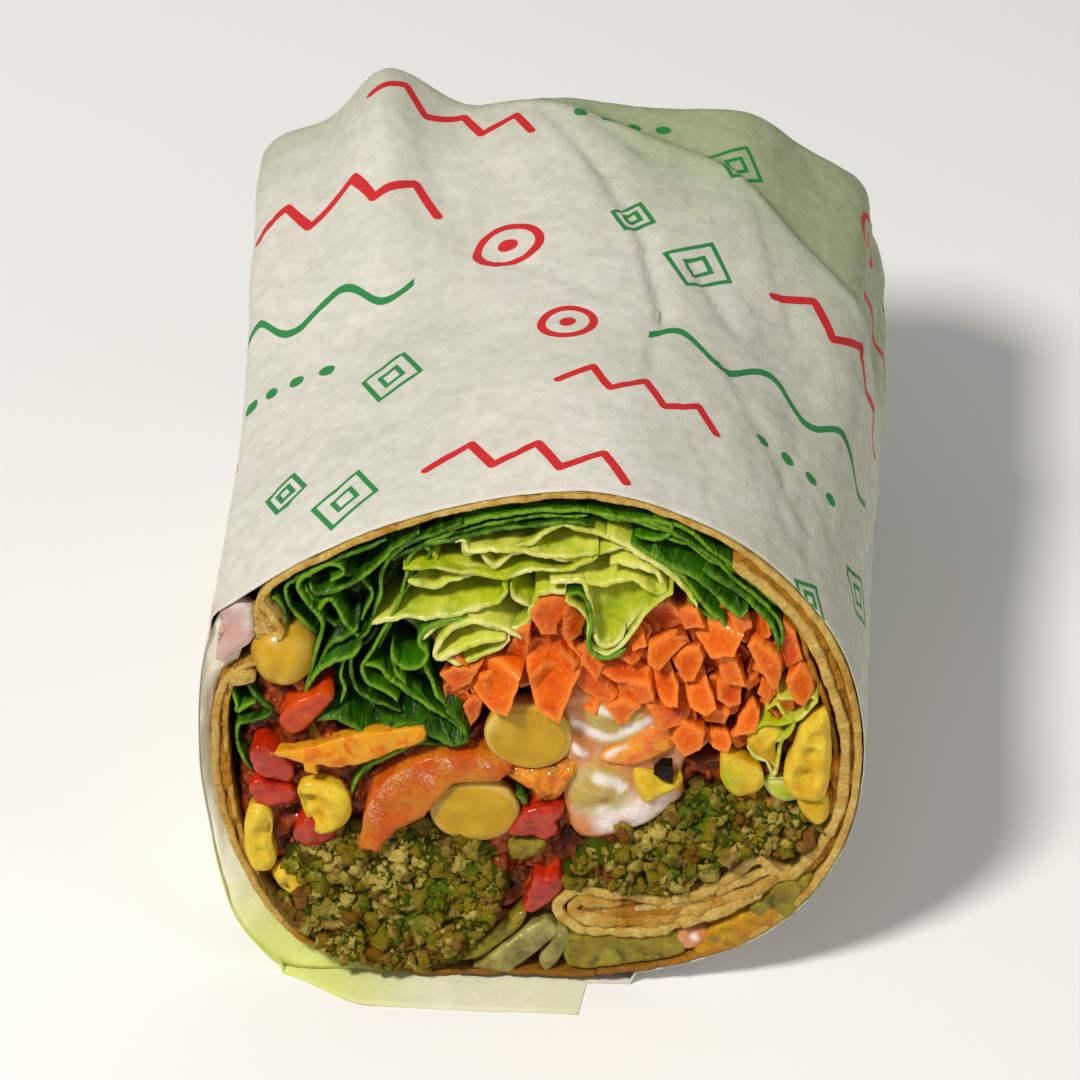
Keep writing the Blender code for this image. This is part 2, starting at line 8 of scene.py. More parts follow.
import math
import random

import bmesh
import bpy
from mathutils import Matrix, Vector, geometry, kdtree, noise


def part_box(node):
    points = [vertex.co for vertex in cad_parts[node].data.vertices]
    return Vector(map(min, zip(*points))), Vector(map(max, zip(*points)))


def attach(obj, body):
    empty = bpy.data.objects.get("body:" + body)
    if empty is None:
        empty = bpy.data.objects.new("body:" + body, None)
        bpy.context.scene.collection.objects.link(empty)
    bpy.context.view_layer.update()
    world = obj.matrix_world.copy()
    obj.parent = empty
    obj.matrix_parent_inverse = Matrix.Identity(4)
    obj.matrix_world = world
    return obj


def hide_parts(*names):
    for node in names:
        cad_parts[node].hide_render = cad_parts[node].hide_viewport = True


bl_info = {
    "name": "Falafel wrap",
    "version": (1, 0, 0),
    "blender": (4, 5, 0),
    "location": "View3D > Sidebar > Wrap",
    "description": "Half of a falafel wrap in printed paper, built round its solid frame",
    "category": "Object",
}

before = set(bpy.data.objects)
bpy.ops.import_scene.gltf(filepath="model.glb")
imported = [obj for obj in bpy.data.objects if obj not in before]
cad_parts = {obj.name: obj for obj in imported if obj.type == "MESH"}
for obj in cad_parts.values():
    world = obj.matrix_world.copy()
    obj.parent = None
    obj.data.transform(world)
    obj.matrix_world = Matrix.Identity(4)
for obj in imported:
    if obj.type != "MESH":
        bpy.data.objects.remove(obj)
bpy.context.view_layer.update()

MM = 0.001  # in metres
LENGTH = 106.0  # of the tortilla, from the foot of the cut face to its closed end
LEAN = math.radians(12.0)  # how far the cut face leans back
END_LOWER = 0.11  # how much lower the closed end is than the cut face
END_NARROWER = 0.03  # and how much narrower
TORTILLA_LIFT = 0.9  # height of the tortilla's underside
GAP = 0.35  # between the tortilla and its paper
PAPER = 0.4  # thickness of the paper with its air
PAPER_END = LENGTH + GAP * 2 + PAPER
PAPER_STEP = 0.9  # between two places round the paper
PAPER_RINGS = 104  # from the paper's front edge to the start of its closed end
PRINT_TURNS = PAPER_RINGS + 4  # the ring behind which the print runs across the closed end
THROUGH = 91  # depth of a filling that runs through the wrap
OUTER_STEP = 0.5  # between two places round the tortilla
PLEAT_AT = (-40.5, 50.2)  # where the tortilla is pressed in
PLEAT_TO = (0.96, -0.28)  # and in which direction
PLEAT_DEEP = 5.5  # at the cut face
PLEAT_WIDE = 4.6
PLEAT_LONG = 14.0  # from the cut face to where it has faded
TAIL = 5.8  # how far the paper's lower edge runs out in front of the cut face
TAIL_END = 6.4  # how far it reaches to the right
HEART = Vector((0, 35))  # the middle of the cut face

# The tortilla's outline on the cut face, without its pleat.
OUTER = (
    (8, 0.6), (22, 4), (33, 11.5), (39.8, 24), (40.9, 40), (36, 54.6), (24, 66.6), (8, 72.6), (-8.3, 70.8),
    (-25.2, 64.2), (-38, 54.2), (-42.2, 36), (-40, 19), (-32, 5), (-18, 0), (-5, 0),
)
# Where the paper stands off the tortilla, down its left side to the floor.
PAPER_LEFT = (
    (-40.2, 55), (-42.4, 50), (-43.6, 44), (-44, 36), (-43.8, 29), (-42.6, 20), (-41.4, 13.5), (-39.8, 7.5),
    (-37.2, 2.8), (-33.4, -0.5), (-29, -0.92), (-12, -0.92),
)
# How the paper stands off the tortilla towards its closed end: where on the outline, how far it is pushed,
# how wide the bulge is and the depths between which it grows.
BULGES = (
    ((-26, 64.2), (-1.5, 13), 7.5, 45, 104), ((-38, 54.2), (-4, 8), 9, 30, 104),
    ((-8, 70.8), (1, 3), 11, 60, 104), ((24, 66.6), (2, 5.5), 10, 50, 104),
    ((36, 54.6), (5.5, 4), 9, 20, 100), ((41, 38), (2.6, 0), 11, 10, 90),
    ((-42, 38), (-1.5, 0), 12, 60, 104),
)
# Sharp folds in the top of the paper: from and to (u, d), and how deep.
FOLDS = (
    ((-6, 99), (3, 84), 0.5), ((3, 84), (10, 66), 0.5), ((10, 66), (13, 48), 0.7), ((13, 48), (12, 34), 0.4),
    ((2, 97), (10, 88), 0.4), ((17, 62), (22, 51), 0.4), ((-22, 92), (-14, 66), 0.25),
    ((-31, 58), (-16, 36), 0.22), ((22, 40), (32, 16), 0.25), ((-14, 66), (4, 50), 0.2),
    ((24, 80), (30, 58), 0.3),
)


# ---- Curves and the wrap's form ----


def curve_through(points, step, closed=False, soft=True):
    """Points about a step apart along a smooth or a straight-sided line through the given ones."""
    spots = [Vector(p) for p in points]
    count = len(spots)

    def at(i):
        return spots[i % count] if closed else spots[min(max(i, 0), count - 1)]

    line = []
    for i in range(count if closed else count - 1):
        a, b, c, d = (at(i + k) for k in (-1, 0, 1, 2))
        cuts = max(1, round((c - b).length / step))
        for k in range(cuts):
            t = k / cuts
            bend = (c - a) * t + (2 * a - 5 * b + 4 * c - d) * t**2 + (3 * b - a - 3 * c + d) * t**3
            line.append(b + bend * 0.5 if soft else b.lerp(c, t))
    if not closed:
        line.append(spots[-1])
    return line


def sideways(line, closed=False):
    """The unit direction to the left of a line at each of its points."""
    count = len(line)
    result = []
    for i in range(count):
        before = line[i - 1] if closed or i else line[0]
        after = line[(i + 1) % count] if closed else line[min(i + 1, count - 1)]
        along = (after - before).normalized()
        result.append(Vector((-along.y, along.x)))
    return result


def turned_left(loop):
    """The closed loop, running anticlockwise."""
    area = sum(a.x * b.y - b.x * a.y for a, b in zip(loop, loop[1:] + loop[:1]))
    return loop if area > 0 else loop[::-1]


def grown(loop, distance):
    """A closed anticlockwise loop moved outwards by a distance, or inwards by a negative one."""
    return [p - side * distance for p, side in zip(loop, sideways(loop, True))]


def eased(t):
    """Rises smoothly from 0 to 1 as t does."""
    t = min(1.0, max(0.0, t))
    return t * t * (3 - 2 * t)


def wobble(a, b=0.0, c=0.0, seed=0):
    """Smooth noise from about -1 to 1."""
    return noise.noise(Vector((a + seed * 7.31, b - seed * 3.17, c + seed * 1.93)))


def pleated(loop, depth):
    """The loop pressed in where the tortilla has its pleat, which fades into the wrap."""
    fade = PLEAT_DEEP * (1 - eased(depth / PLEAT_LONG))
    at = Vector(PLEAT_AT)
    return [p + Vector(PLEAT_TO) * fade * math.exp(-(((p - at).length / PLEAT_WIDE) ** 2)) for p in loop]


OUTER_LINE = curve_through(OUTER, OUTER_STEP, True)
SHIFT = Vector((
    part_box("tortilla")[1].x - max(p.x for p in OUTER_LINE) * MM,
    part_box("tortilla")[1].y - LENGTH * MM,
    0.0,
))


def wrap_form(spot):
    """Takes (u, d, w) in millimetres in the straight space to a place in the frame, in metres."""
    u, d, w = spot
    t = d / LENGTH
    lower = 1 - END_LOWER * t if w > 0 else 1.0
    x = u * (1 - END_NARROWER * t)
    y = (1 - t) * w * math.sin(LEAN) + d
    z = max(0.0, TORTILLA_LIFT + w * math.cos(LEAN) * lower)
    return Vector((x, y, z)) * MM + SHIFT


def reaches(loop):
    """How far the loop is from the heart of the face, for each whole degree."""
    table = [0.0] * 360
    for p in curve_through(loop, 0.1, True, soft=False):
        away = p - HEART
        angle = int(math.degrees(math.atan2(away.y, away.x))) % 360
        table[angle] = max(table[angle], away.length)
    for angle in range(360):
        table[angle] = table[angle] or table[angle - 1]
    return table


REACH_FRONT = reaches(pleated(OUTER_LINE, 0))
REACH_DEEP = reaches(OUTER_LINE)


def held(p, depth, margin):
    """The place on the face, kept a margin inside the tortilla's outline."""
    away = p - HEART
    angle = int(math.degrees(math.atan2(away.y, away.x))) % 360
    front = eased(depth / PLEAT_LONG)
    limit = REACH_FRONT[angle] * (1 - front) + REACH_DEEP[angle] * front - margin
    return HEART + away * min(1.0, limit / max(0.01, away.length))


# ---- Shapes ----


def plain_mesh(name, spots, faces, marks, smooth=True):
    """A mesh whose vertices hold marks, with its faces turned outwards."""
    mesh = bpy.data.meshes.new(name)
    mesh.from_pydata(spots, [], faces)
    for title, values in marks.items():
        mesh.attributes.new(title, "FLOAT", "POINT").data.foreach_set("value", values)
    bm = bmesh.new()
    bm.from_mesh(mesh)
    bmesh.ops.recalc_face_normals(bm, faces=bm.faces)
    bm.to_mesh(mesh)
    bm.free()
    if smooth:
        mesh.shade_smooth()
    return mesh


class Heap:
    """Shapes laid out in the straight space that become one mesh.

    Every vertex has marks: rim (1 at a cut edge), face (1 on a cut face, or from -1 to 1 across a sheet),
    tone (its shape's own number, which paints the carrot ends in front as more or less lit and the falafel
    bases as in shade), its run along and into the shape, in millimetres, and sometimes a mark for places in
    another colour, which holds painted shade and light on the paper, painted shade at the bottom of the
    tortilla's wall and a painted highlight on the carrot slice and the filmed tomato.
    """

    def __init__(self):
        self.spots = []
        self.faces = []
        self.marks = []

    def add(self, spots, faces, marks):
        """Adds one shape."""
        start = len(self.spots)
        self.spots += spots
        self.faces += [[start + i for i in face] for face in faces]
        self.marks += marks

    def item(self, name, material, sharp=None):
        """Makes the mesh and its object, with edges left sharp above an angle in degrees."""
        marks = {title: [m[k] if k < len(m) else 0.0 for m in self.marks]
                 for title, k in (("rim", 0), ("face", 1), ("tone", 2), ("stain", 5))}
        # Depth into the wrap, from which the finishes paint shade between the pieces.
        marks["deep"] = [max(0.0, spot[1]) for spot in self.spots]
        mesh = plain_mesh(name, [wrap_form(spot) for spot in self.spots], self.faces, marks)
        run = [x for loop in mesh.loops for x in self.marks[loop.vertex_index][3:5]]
        mesh.uv_layers.new(name="run").data.foreach_set("uv", run)
        if sharp:
            mesh.set_sharp_from_angle(angle=math.radians(sharp))
        mesh.materials.append(material)
        item = bpy.data.objects.new(name, mesh)
        bpy.context.scene.collection.objects.link(item)
        return item


# A sheet's rows by their depth behind its front edge, and the rounding of that edge (across, depth).
ROWS = (0.25, 0.6, 1.1, 1.8, 2.7, 3.8, 5.1, 6.8, 8.8, 11.3, 14.5, 18.5, 24, 32, 45, 65)
NOSE = ((0.46, 0.07), (0.22, 0.0), (-0.22, 0.0), (-0.46, 0.07))


def sheet(heap, path, thick, front=0.0, deep=12.0, tone=0.5, wave=0.5, rise=(0.0, 0.0), seed=0,
          ragged=0.4, step=0.45, margin=1.9, stain=0.0):
    """A leaf or a layer of bread: its path on the face, drawn into the wrap with ripples.

    It runs from front to deep. wave is the height of its ripples, rise how far it moves across and up with
    each millimetre of depth, ragged the wear of its front edge and margin what it keeps from the tortilla's
    outer side.
    """
    line = curve_through(path, step)
    total = len(line) * step
    rows = [r for r in ROWS if r < deep - 0.5] + [deep]
    ring = [(0.5, r) for r in reversed(rows)] + list(NOSE) + [(-0.5, r) for r in rows]
    spots, marks = [], []
    for i, (p, side) in enumerate(zip(line, sideways(line))):
        s = i * step
        near = front + ragged * (wobble(s * 0.55, seed=seed) + 0.6 * wobble(s * 1.9, 3.0, seed=seed))
        body = thick * (0.9 + 0.35 * wobble(s * 0.45, 9.0, seed=seed))
        body *= 0.4 + 0.6 * min(1.0, min(s, total - step - s) / 1.2)
        for k, r in ring:
            far = min(1.0, r / 4)
            sway = wave * (0.2 + 0.8 * far) * wobble(s / 5.5, r / 7.5, seed=seed) * 1.6
            sway += wave * 0.16 * wobble(s / 2.2, r / 2.6, 4.0, seed=seed)
            middle = p + side * sway + Vector(rise) * r
            here = held(middle, near + r, margin) + side * k * body
            spots.append((here.x, near + r, here.y))
            marks.append((math.exp(-r / 0.3), 2 * k, tone, s, r + seed * 3.7, stain))
    size = len(ring)
    faces = []
    for i in range(len(line) - 1):
        a, b = i * size, (i + 1) * size
        faces += [(a + j, b + j, b + (j + 1) % size, a + (j + 1) % size) for j in range(size)]
    for a in (0, (len(line) - 1) * size):
        faces += [(a + j, a + j + 1, a + size - 2 - j, a + size - 1 - j) for j in range(size // 2 - 1)]
    heap.add(spots, faces, marks)


def chunk(heap, outline, near, far, edge=0.3, dome=(0.0, 1.0), rough=((0.05, 1.2),), dents=(), slope=(0, 0),
          drift=(0, 0), tone=0.5, seed=0, step=0.5, soft=True, margin=1.6, stains=(), belly=0.0, ragged=0.0):
    """A solid piece of filling: its outline on the face, with a worked front, drawn into the wrap.

    It runs from near to far. edge rounds its rim, dome is how high its front swells and how far in from the
    rim, rough the size and the width of each sort of unevenness, slope how its front leans across and up, and
    drift how it moves across and up with each millimetre of depth. belly is the depth at which it would
    close, and ragged the wear of its outline. Dents are (u, w, width, depth), and places marked in another
    colour (u, w, width), which on the carrot slice and the filmed tomato are a painted highlight.
    """
    dice = random.Random(seed + 1)
    loop = turned_left(curve_through(outline, step, True, soft))
    rips = [wobble(p.x * 0.9, p.y * 0.9, seed=seed) + 0.7 * wobble(p.x * 2, p.y * 2, seed=seed) for p in loop]
    loop = [p + side * ragged * rip for p, side, rip in zip(loop, sideways(loop, True), rips)]
    middle = sum(loop, Vector((0, 0))) / len(loop)
    inner = grown(loop, -edge)
    count = len(inner)
    finder = kdtree.KDTree(count)
    for i, p in enumerate(inner):
        finder.insert((p.x, p.y, 0), i)
    finder.balance()
    low = Vector((min(p.x for p in inner), min(p.y for p in inner)))
    high = Vector((max(p.x for p in inner), max(p.y for p in inner)))
    grid = []
    for j in range(int((high.y - low.y) / step) + 1):
        for i in range(int((high.x - low.x) / step) + 1):
            shift = Vector((dice.uniform(-0.2, 0.2), dice.uniform(-0.2, 0.2)))
            p = low + (Vector((i + 0.5 * (j % 2), j)) + shift) * step
            if finder.find((p.x, p.y, 0))[2] > step * 0.55:
                grid.append(p)
    flat, _, tris, origin, _, _ = geometry.delaunay_2d_cdt(inner + grid, [], [list(range(count))], 1, 1e-4)
    place_of = {source: i for i, sources in enumerate(origin) for source in sources}

    def push(p, r):
        """How far the surface is moved out by its roughness, at a place on the face and a depth."""
        return sum(size * 1.7 * wobble(p.x / wide, r / wide, p.y / wide, seed=seed) for size, wide in rough)

    spots, marks = [], []
    for p in flat:
        inset = finder.find((p.x, p.y, 0))[2]
        x = min(1.0, inset / dome[1])
        depth = near - dome[0] * math.sqrt(max(0.0, 1 - (1 - x) ** 2)) + (p - middle).dot(Vector(slope))
        depth -= push(p, 0) * min(1.0, 0.3 + inset)
        for u, w, wide, deep in dents:
            depth += deep * math.exp(-((p - Vector((u, w))).length_squared / wide**2))
        spots.append((p.x, depth, p.y))
        stain = 0.0
        for u, w, wide in stains:
            stain = max(stain, math.exp(-(((p - Vector((u, w))).length / wide) ** 2)))
        marks.append((math.exp(-inset / 0.35), 1.0, tone, p.x, p.y, stain))
    faces = [list(t) for t in tris]
    back = [r for r in (edge * 0.3, edge, 1.2, 2.4, 3.8, 5.5, 8, 12, 20, 40) if r < far - near - 0.4]
    back.append(far - near)
    ring = [place_of[i] for i in range(count)]
    for r in back:
        rounding = 0.35 if r < edge else 0.0
        start = len(spots)
        size = math.sqrt(max(0.02, 1 - (r / belly) ** 2)) if belly else 1.0
        for p, side in zip(loop, sideways(loop, True)):
            out = push(p, r) * min(1.0, r) - rounding * edge
            here = held(middle + (p - middle) * size - side * out + Vector(drift) * r, near + r, margin)
            depth = near + r + (p - middle).dot(Vector(slope)) * max(0.0, 1 - r / 4)
            spots.append((here.x, depth, here.y))
            marks.append((math.exp(-r / 0.3), 0.0, tone, here.x, r))
        fresh = list(range(start, start + count))
        faces += [(ring[i - 1], ring[i], fresh[i], fresh[i - 1]) for i in range(count)]
        ring = fresh
    faces.append(ring)
    heap.add(spots, faces, marks)


# ---- Nodes written as expressions ----


class Link:
    """An output socket. Arithmetic on it adds Math nodes."""

    def __init__(self, wires, socket):
        self.wires = wires
        self.socket = socket

    def __getitem__(self, title):
        return Link(self.wires, self.socket.node.outputs[title])

    def maths(self, operation, *values):
        """A Math node on the given values."""
        return self.wires.node("ShaderNodeMath", {"operation": operation}, values)

    def __add__(self, other):
        return self.maths("ADD", self, other)

    def __sub__(self, other):
        return self.maths("SUBTRACT", self, other)

    def __rsub__(self, other):
        return self.maths("SUBTRACT", other, self)

    def __mul__(self, other):
        return self.maths("MULTIPLY", self, other)

    def __truediv__(self, other):
        return self.maths("DIVIDE", self, other)

    def __pow__(self, other):
        return self.maths("POWER", self, other)

    __radd__ = __add__
    __rmul__ = __mul__

    def only(self, operation):
        """A Math node on this value alone."""
        return self.maths(operation, self)

    def size(self):
        """The value without its sign."""
        return self.only("ABSOLUTE")

    def least(self, other):
        """The smaller of two values."""
        return self.maths("MINIMUM", self, other)

    def most(self, other):
        """The larger of two values."""
        return self.maths("MAXIMUM", self, other)


class Wires:
    """Adds nodes to a tree."""

    def __init__(self, tree):
        self.tree = tree

    def node(self, kind, settings=None, values=()):
        """A node of a type, with its settings first and then the values or links of its sockets."""
        made = self.tree.nodes.new(kind)
        for title, value in (settings or {}).items():
            setattr(made, title, value)
        pairs = values.items() if isinstance(values, dict) else enumerate(values)
        for title, value in pairs:
            if isinstance(value, Link):
                self.tree.links.new(value.socket, made.inputs[title])
            elif value is not None:
                made.inputs[title].default_value = value
        return Link(self, made.outputs[0]) if made.outputs else made


def tint(code):
    """A colour from its six hex digits, as the linear values that Blender keeps."""
    parts = [int(code[k:k + 2], 16) / 255 for k in (0, 2, 4)]
    return (*(c / 12.92 if c < 0.04045 else ((c + 0.055) / 1.055) ** 2.4 for c in parts), 1.0)


class Finish(Wires):
    """A material in the making, on coordinates in millimetres."""

    def __init__(self, name):
        self.material = bpy.data.materials.new(name)
        self.material.use_nodes = True
        super().__init__(self.material.node_tree)
        self.shader = self.tree.nodes["Principled BSDF"]
        place = self.node("ShaderNodeTexCoord")["Object"]
        self.place = self.scaled(place, 1000.0)

    def scaled(self, vector, factor):
        """A vector times a number or another vector."""
        if isinstance(factor, (int, float)):
            factor = (factor, factor, factor)
        return self.node("ShaderNodeVectorMath", {"operation": "MULTIPLY"}, (vector, factor))

    def mark(self, title):
        """A number that the mesh holds."""
        return self.node("ShaderNodeAttribute", {"attribute_name": title})["Fac"]

    def run(self):
        """The place along and into a sheet, in millimetres."""
        return self.node("ShaderNodeUVMap", {"uv_map": "run"})

    def cloud(self, scale, detail=2.0, rough=0.5, where=None, twist=0.0):
        """Noise from 0 to 1, with scale features to a millimetre."""
        values = {"Vector": where or self.place, "Scale": scale, "Detail": detail, "Roughness": rough,
                  "Distortion": twist}
        return self.node("ShaderNodeTexNoise", None, values)["Fac"]

    def about(self, places, share=None):
        """1 at places on the cut face, each falling to 0 at its own distance, or else the given share."""
        part = self.node("ShaderNodeSeparateXYZ", None, (self.place,))
        for middle, wide in places:
            a = part["X"] - (SHIFT.x / MM + middle[0])
            b = part["Z"] / math.cos(LEAN) - middle[1]
            here = self.between((a * a + b * b) ** 0.5, wide, 0.0)
            share = here if share is None else share.most(here)
        return share

    def cells(self, scale, feature="F1", where=None):
        """A Voronoi pattern, with scale cells to a millimetre."""
        return self.node("ShaderNodeTexVoronoi", {"feature": feature},
                         {"Vector": where or self.place, "Scale": scale})["Distance"]

    def between(self, value, low, high, start=0.0, end=1.0):
        """The value's smooth rise between two bounds."""
        values = {"Value": value, "From Min": low, "From Max": high, "To Min": start, "To Max": end}
        return self.node("ShaderNodeMapRange", {"interpolation_type": "SMOOTHSTEP"}, values)

    def blend(self, share, one, two):
        """A colour between two."""
        mixed = self.node("ShaderNodeMix", {"data_type": "RGBA", "clamp_factor": True},
                          {0: share, 6: one, 7: two})
        return Link(self, mixed.socket.node.outputs[2])

    def bumped(self, height, distance):
        """A normal for a height, with the bump's depth in millimetres."""
        values = {"Height": height, "Distance": distance * MM, "Strength": 1.0}
        return self.node("ShaderNodeBump", None, values)

    def shaded(self, base, dark, start=1.0, reach=7.0, share=0.85):
        """Painted shade: the colour, darker deep between the pieces, where little light reaches."""
        return self.blend(self.between(self.mark("deep"), start, reach) * share, base, dark)

    def done(self, colour, rough, normal=None, **same):
        """Connects the shader and returns the material. What is the same all over goes on its own socket."""
        same.setdefault("Specular_IOR_Level", 0.15)
        for title, value in (("Base Color", colour), ("Roughness", rough), ("Normal", normal)):
            if isinstance(value, Link):
                self.tree.links.new(value.socket, self.shader.inputs[title])
            elif value is not None:
                self.shader.inputs[title].default_value = value
        for title, value in same.items():
            self.shader.inputs[title.replace("_", " ")].default_value = value
        return self.material


def soft(weight, reach):
    """The values that let light into a soft food, with its reach in millimetres for red, green and blue."""
    return {"Subsurface_Weight": weight, "Subsurface_Radius": reach, "Subsurface_Scale": MM}


# ---- Finishes ----


def leaf_finish(colours):
    """A dark salad leaf: soft ribs, a wet gloss and a brighter cut edge here and there."""
    f = Finish("dark leaf")
    rim, tone, run = f.mark("rim"), f.mark("tone"), f.run()
    bent = f.node("ShaderNodeVectorMath", {"operation": "ADD"}, (run, f.scaled(f.node(
        "ShaderNodeTexNoise", None, {"Vector": run, "Scale": 0.3})["Color"], 2.5)))
    broad = f.cloud(0.13, 3)
    fine = f.cloud(1.3, 3, 0.55)
    ribs = f.cloud(0.6, 2, 0.5, f.scaled(run, (1.0, 0.22, 1.0)), 0.6)
    veins = 1 - f.between(f.cells(0.16, "DISTANCE_TO_EDGE", bent), 0.0, 0.07)
    base = f.blend(f.between(broad * 0.9 + tone * 0.45, 0.42, 0.95), colours.leaf_dark, colours.leaf)
    base = f.blend(f.between(ribs, 0.46, 0.78) * 0.55, base, colours.leaf_vein)
    base = f.blend(veins * 0.3, base, colours.leaf_vein)
    # Painted shade: darker deep between the leaves.
    base = f.shaded(base, colours.leaf_deep, 0.8, 6.5, 0.9)
    edge = rim * f.between(f.cloud(0.35, 2) + tone * 0.3, 0.42, 0.8)
    base = f.blend((edge + rim * 0.2).least(0.85), base, colours.leaf_edge)
    height = ribs * 1.5 + veins * 0.3 + fine * 0.3 + broad
    rough = f.between(fine, 0.2, 0.8, 0.16, 0.4)
    return f.done(base, rough, f.bumped(height, 0.55), Coat_Weight=0.08, Coat_Roughness=0.08)


def lettuce_finish(colours):
    """Pale lettuce: yellow-green and watery, with thin whitish cut edges and soft ribs."""
    f = Finish("pale lettuce")
    rim, tone, run = f.mark("rim"), f.mark("tone"), f.run()
    broad = f.cloud(0.18, 3)
    fine = f.cloud(1.2, 3, 0.5)
    ribs = f.cloud(0.5, 3, 0.55, f.scaled(run, (1.0, 0.25, 1.0)), 0.5)
    base = f.blend(f.between(broad * 0.6 + ribs * 0.5 + tone * 0.5, 0.5, 1.15), colours.lettuce,
                   colours.lettuce_pale)
    base = f.blend(f.between(f.cloud(0.3, 2, where=f.scaled(f.place, (1, 1, 1.7))), 0.48, 0.75) * 0.75, base,
                   colours.lettuce_green)
    # Painted shade: darker deep between the lettuce.
    base = f.shaded(base, colours.lettuce_deep, 1.5, 8.0, 0.85)
    base = f.blend((rim * f.between(broad + ribs * 0.4, 0.55, 0.95)).least(0.7), base, colours.lettuce_edge)
    height = ribs * 1.3 + fine * 0.25 + broad
    return f.done(base, f.between(fine, 0.2, 0.8, 0.2, 0.4), f.bumped(height, 0.4), Coat_Weight=0.25,
                  Coat_Roughness=0.1, **soft(0.2, (1.8, 2.0, 0.2)))


def bread_finish(colours):
    """Tortilla: soft tan layers in the cut, with cream crumb, toasted freckles and a browned skin."""
    f = Finish("tortilla")
    rim, tone, face = f.mark("rim"), f.mark("tone"), f.mark("face")
    fine = f.cloud(2.2, 4, 0.65)
    grain = f.cloud(6.0, 3, 0.6)
    patch = f.cloud(0.28, 3, 0.6)
    strand = f.cloud(1.6, 3, 0.6, f.scaled(f.run(), (0.3, 1.6, 1.0)))
    skin = f.between(face.size() + fine * 0.25, 0.86, 1.12)
    base = f.blend(f.between(fine * 0.5 + strand * 0.6, 0.4, 0.75), colours.bread, colours.bread_cream)
    # Where layers are marked, the soaked colour; at the bottom of the wall the same mark paints shade, in the
    # soaked and then the toasted colour.
    soaked = f.between(patch + tone * 0.6, 0.62, 1.05) + f.mark("stain")
    base = f.blend(soaked.least(0.92), base, colours.bread_soaked)
    base = f.blend(f.between(f.mark("stain"), 0.9, 1.4) * 0.5, base, colours.bread_toast)
    # Painted shade deep in the cut, in the toasted colour.
    base = f.shaded(base, colours.bread_toast, 0.8, 4.0, 0.75)
    toast = f.between(f.cloud(0.9, 4, 0.7) + patch * 0.5, 0.75, 1.05)
    base = f.blend((skin * (0.1 + toast)).least(0.8), base, colours.bread_toast)
    pores = f.between(f.cells(1.7) + grain * 0.25, 0.1, 0.38)
    base = f.blend((1 - pores) * rim * 0.4, base, colours.bread_toast)
    height = fine * 0.7 + grain * 0.3 + pores * 0.3 + strand * 0.8
    return f.done(base, f.between(grain, 0.2, 0.8, 0.4, 0.7), f.bumped(height, 0.35), Coat_Weight=0.1)


def carrot_finish(colours):
    """Carrot: wet orange with fibres and a mealy cut, a little paler along its edges."""
    f = Finish("carrot")
    rim, tone = f.mark("rim"), f.mark("tone")
    fibre = f.cloud(1.6, 3, 0.6, f.scaled(f.place, (1.0, 0.2, 1.0)))
    fine = f.cloud(3.0, 3, 0.6)
    broad = f.cloud(0.5, 2)
    # Painted light: an end in front is painted lit when its tone is high and shaded when it is low; the loose
    # sticks have random tones.
    bright = f.between(fibre * 0.4 + broad * 0.5 + tone * 0.8, 0.5, 1.05)
    base = f.blend(bright, colours.carrot, colours.carrot_light)
    base = f.blend(f.between(f.cloud(0.4, 2) - tone * 0.25, 0.35, 0.65) * 0.8, base, colours.carrot_deep)
    base = f.blend(f.between(fibre, 0.52, 0.72) * 0.4, base, colours.carrot_edge)
    # Painted shade: darker deep between the sticks.
    base = f.shaded(base, colours.carrot_dark, 0.4, 3.4, 0.94)
    base = f.blend((rim * 1.4).least(0.8) * (0.2 + fine), base, colours.carrot_edge)
    return f.done(base, f.between(fine, 0.2, 0.8, 0.15, 0.35), f.bumped(fibre + fine * 0.15 + broad, 0.3),
                  Coat_Weight=0.35, Coat_Roughness=0.04, Specular_IOR_Level=0.05)


def slice_finish(colours):
    """The thick carrot slice: orange, with a salmon skin in fine pale streaks, strong along its upper edge as
    a painted highlight.
    """
    f = Finish("carrot slice")
    stain = f.mark("stain")
    streak = f.cloud(2.4, 4, 0.65, f.scaled(f.place, (1.0, 1.0, 1.6)), 0.8)
    broad = f.cloud(0.25, 2)
    base = f.blend(f.between(broad, 0.35, 0.65) * 0.6, colours.carrot_light, colours.strip)
    base = f.blend(f.between(f.cloud(0.35, 3), 0.5, 0.75) * 0.5, base, colours.carrot)
    # Pale streaks, faint all over and strong at the marked places as a painted highlight.
    base = f.blend(f.between(streak + stain * 0.12, 0.54, 0.7) * (stain * 0.9 + 0.08), base, colours.slab)
    return f.done(base, f.between(streak, 0.3, 0.7, 0.15, 0.35), f.bumped(streak + broad, 0.5),
                  Coat_Weight=0.3, Coat_Roughness=0.08, **soft(0.2, (1.2, 0.3, 0.05)))


# Places on the falafels and how far each reaches: green with herbs, paler, and with the fried crust.
HERBED = (((-17, 9), 6.0), ((20, 27), 3.5), ((-13, 15), 3.0))
PALER = (((-20, 18), 7.0), ((31, 25), 5.0), ((-26, 10), 3.0))
CRUSTED = (
    ((-32, 10), 4.5), ((-23, 1.8), 4.5), ((-12, 1.5), 4.0), ((-4.6, 11), 3.0), ((8.5, 18), 4.0),
    ((35, 22), 3.5), ((27, 26), 2.2),
)


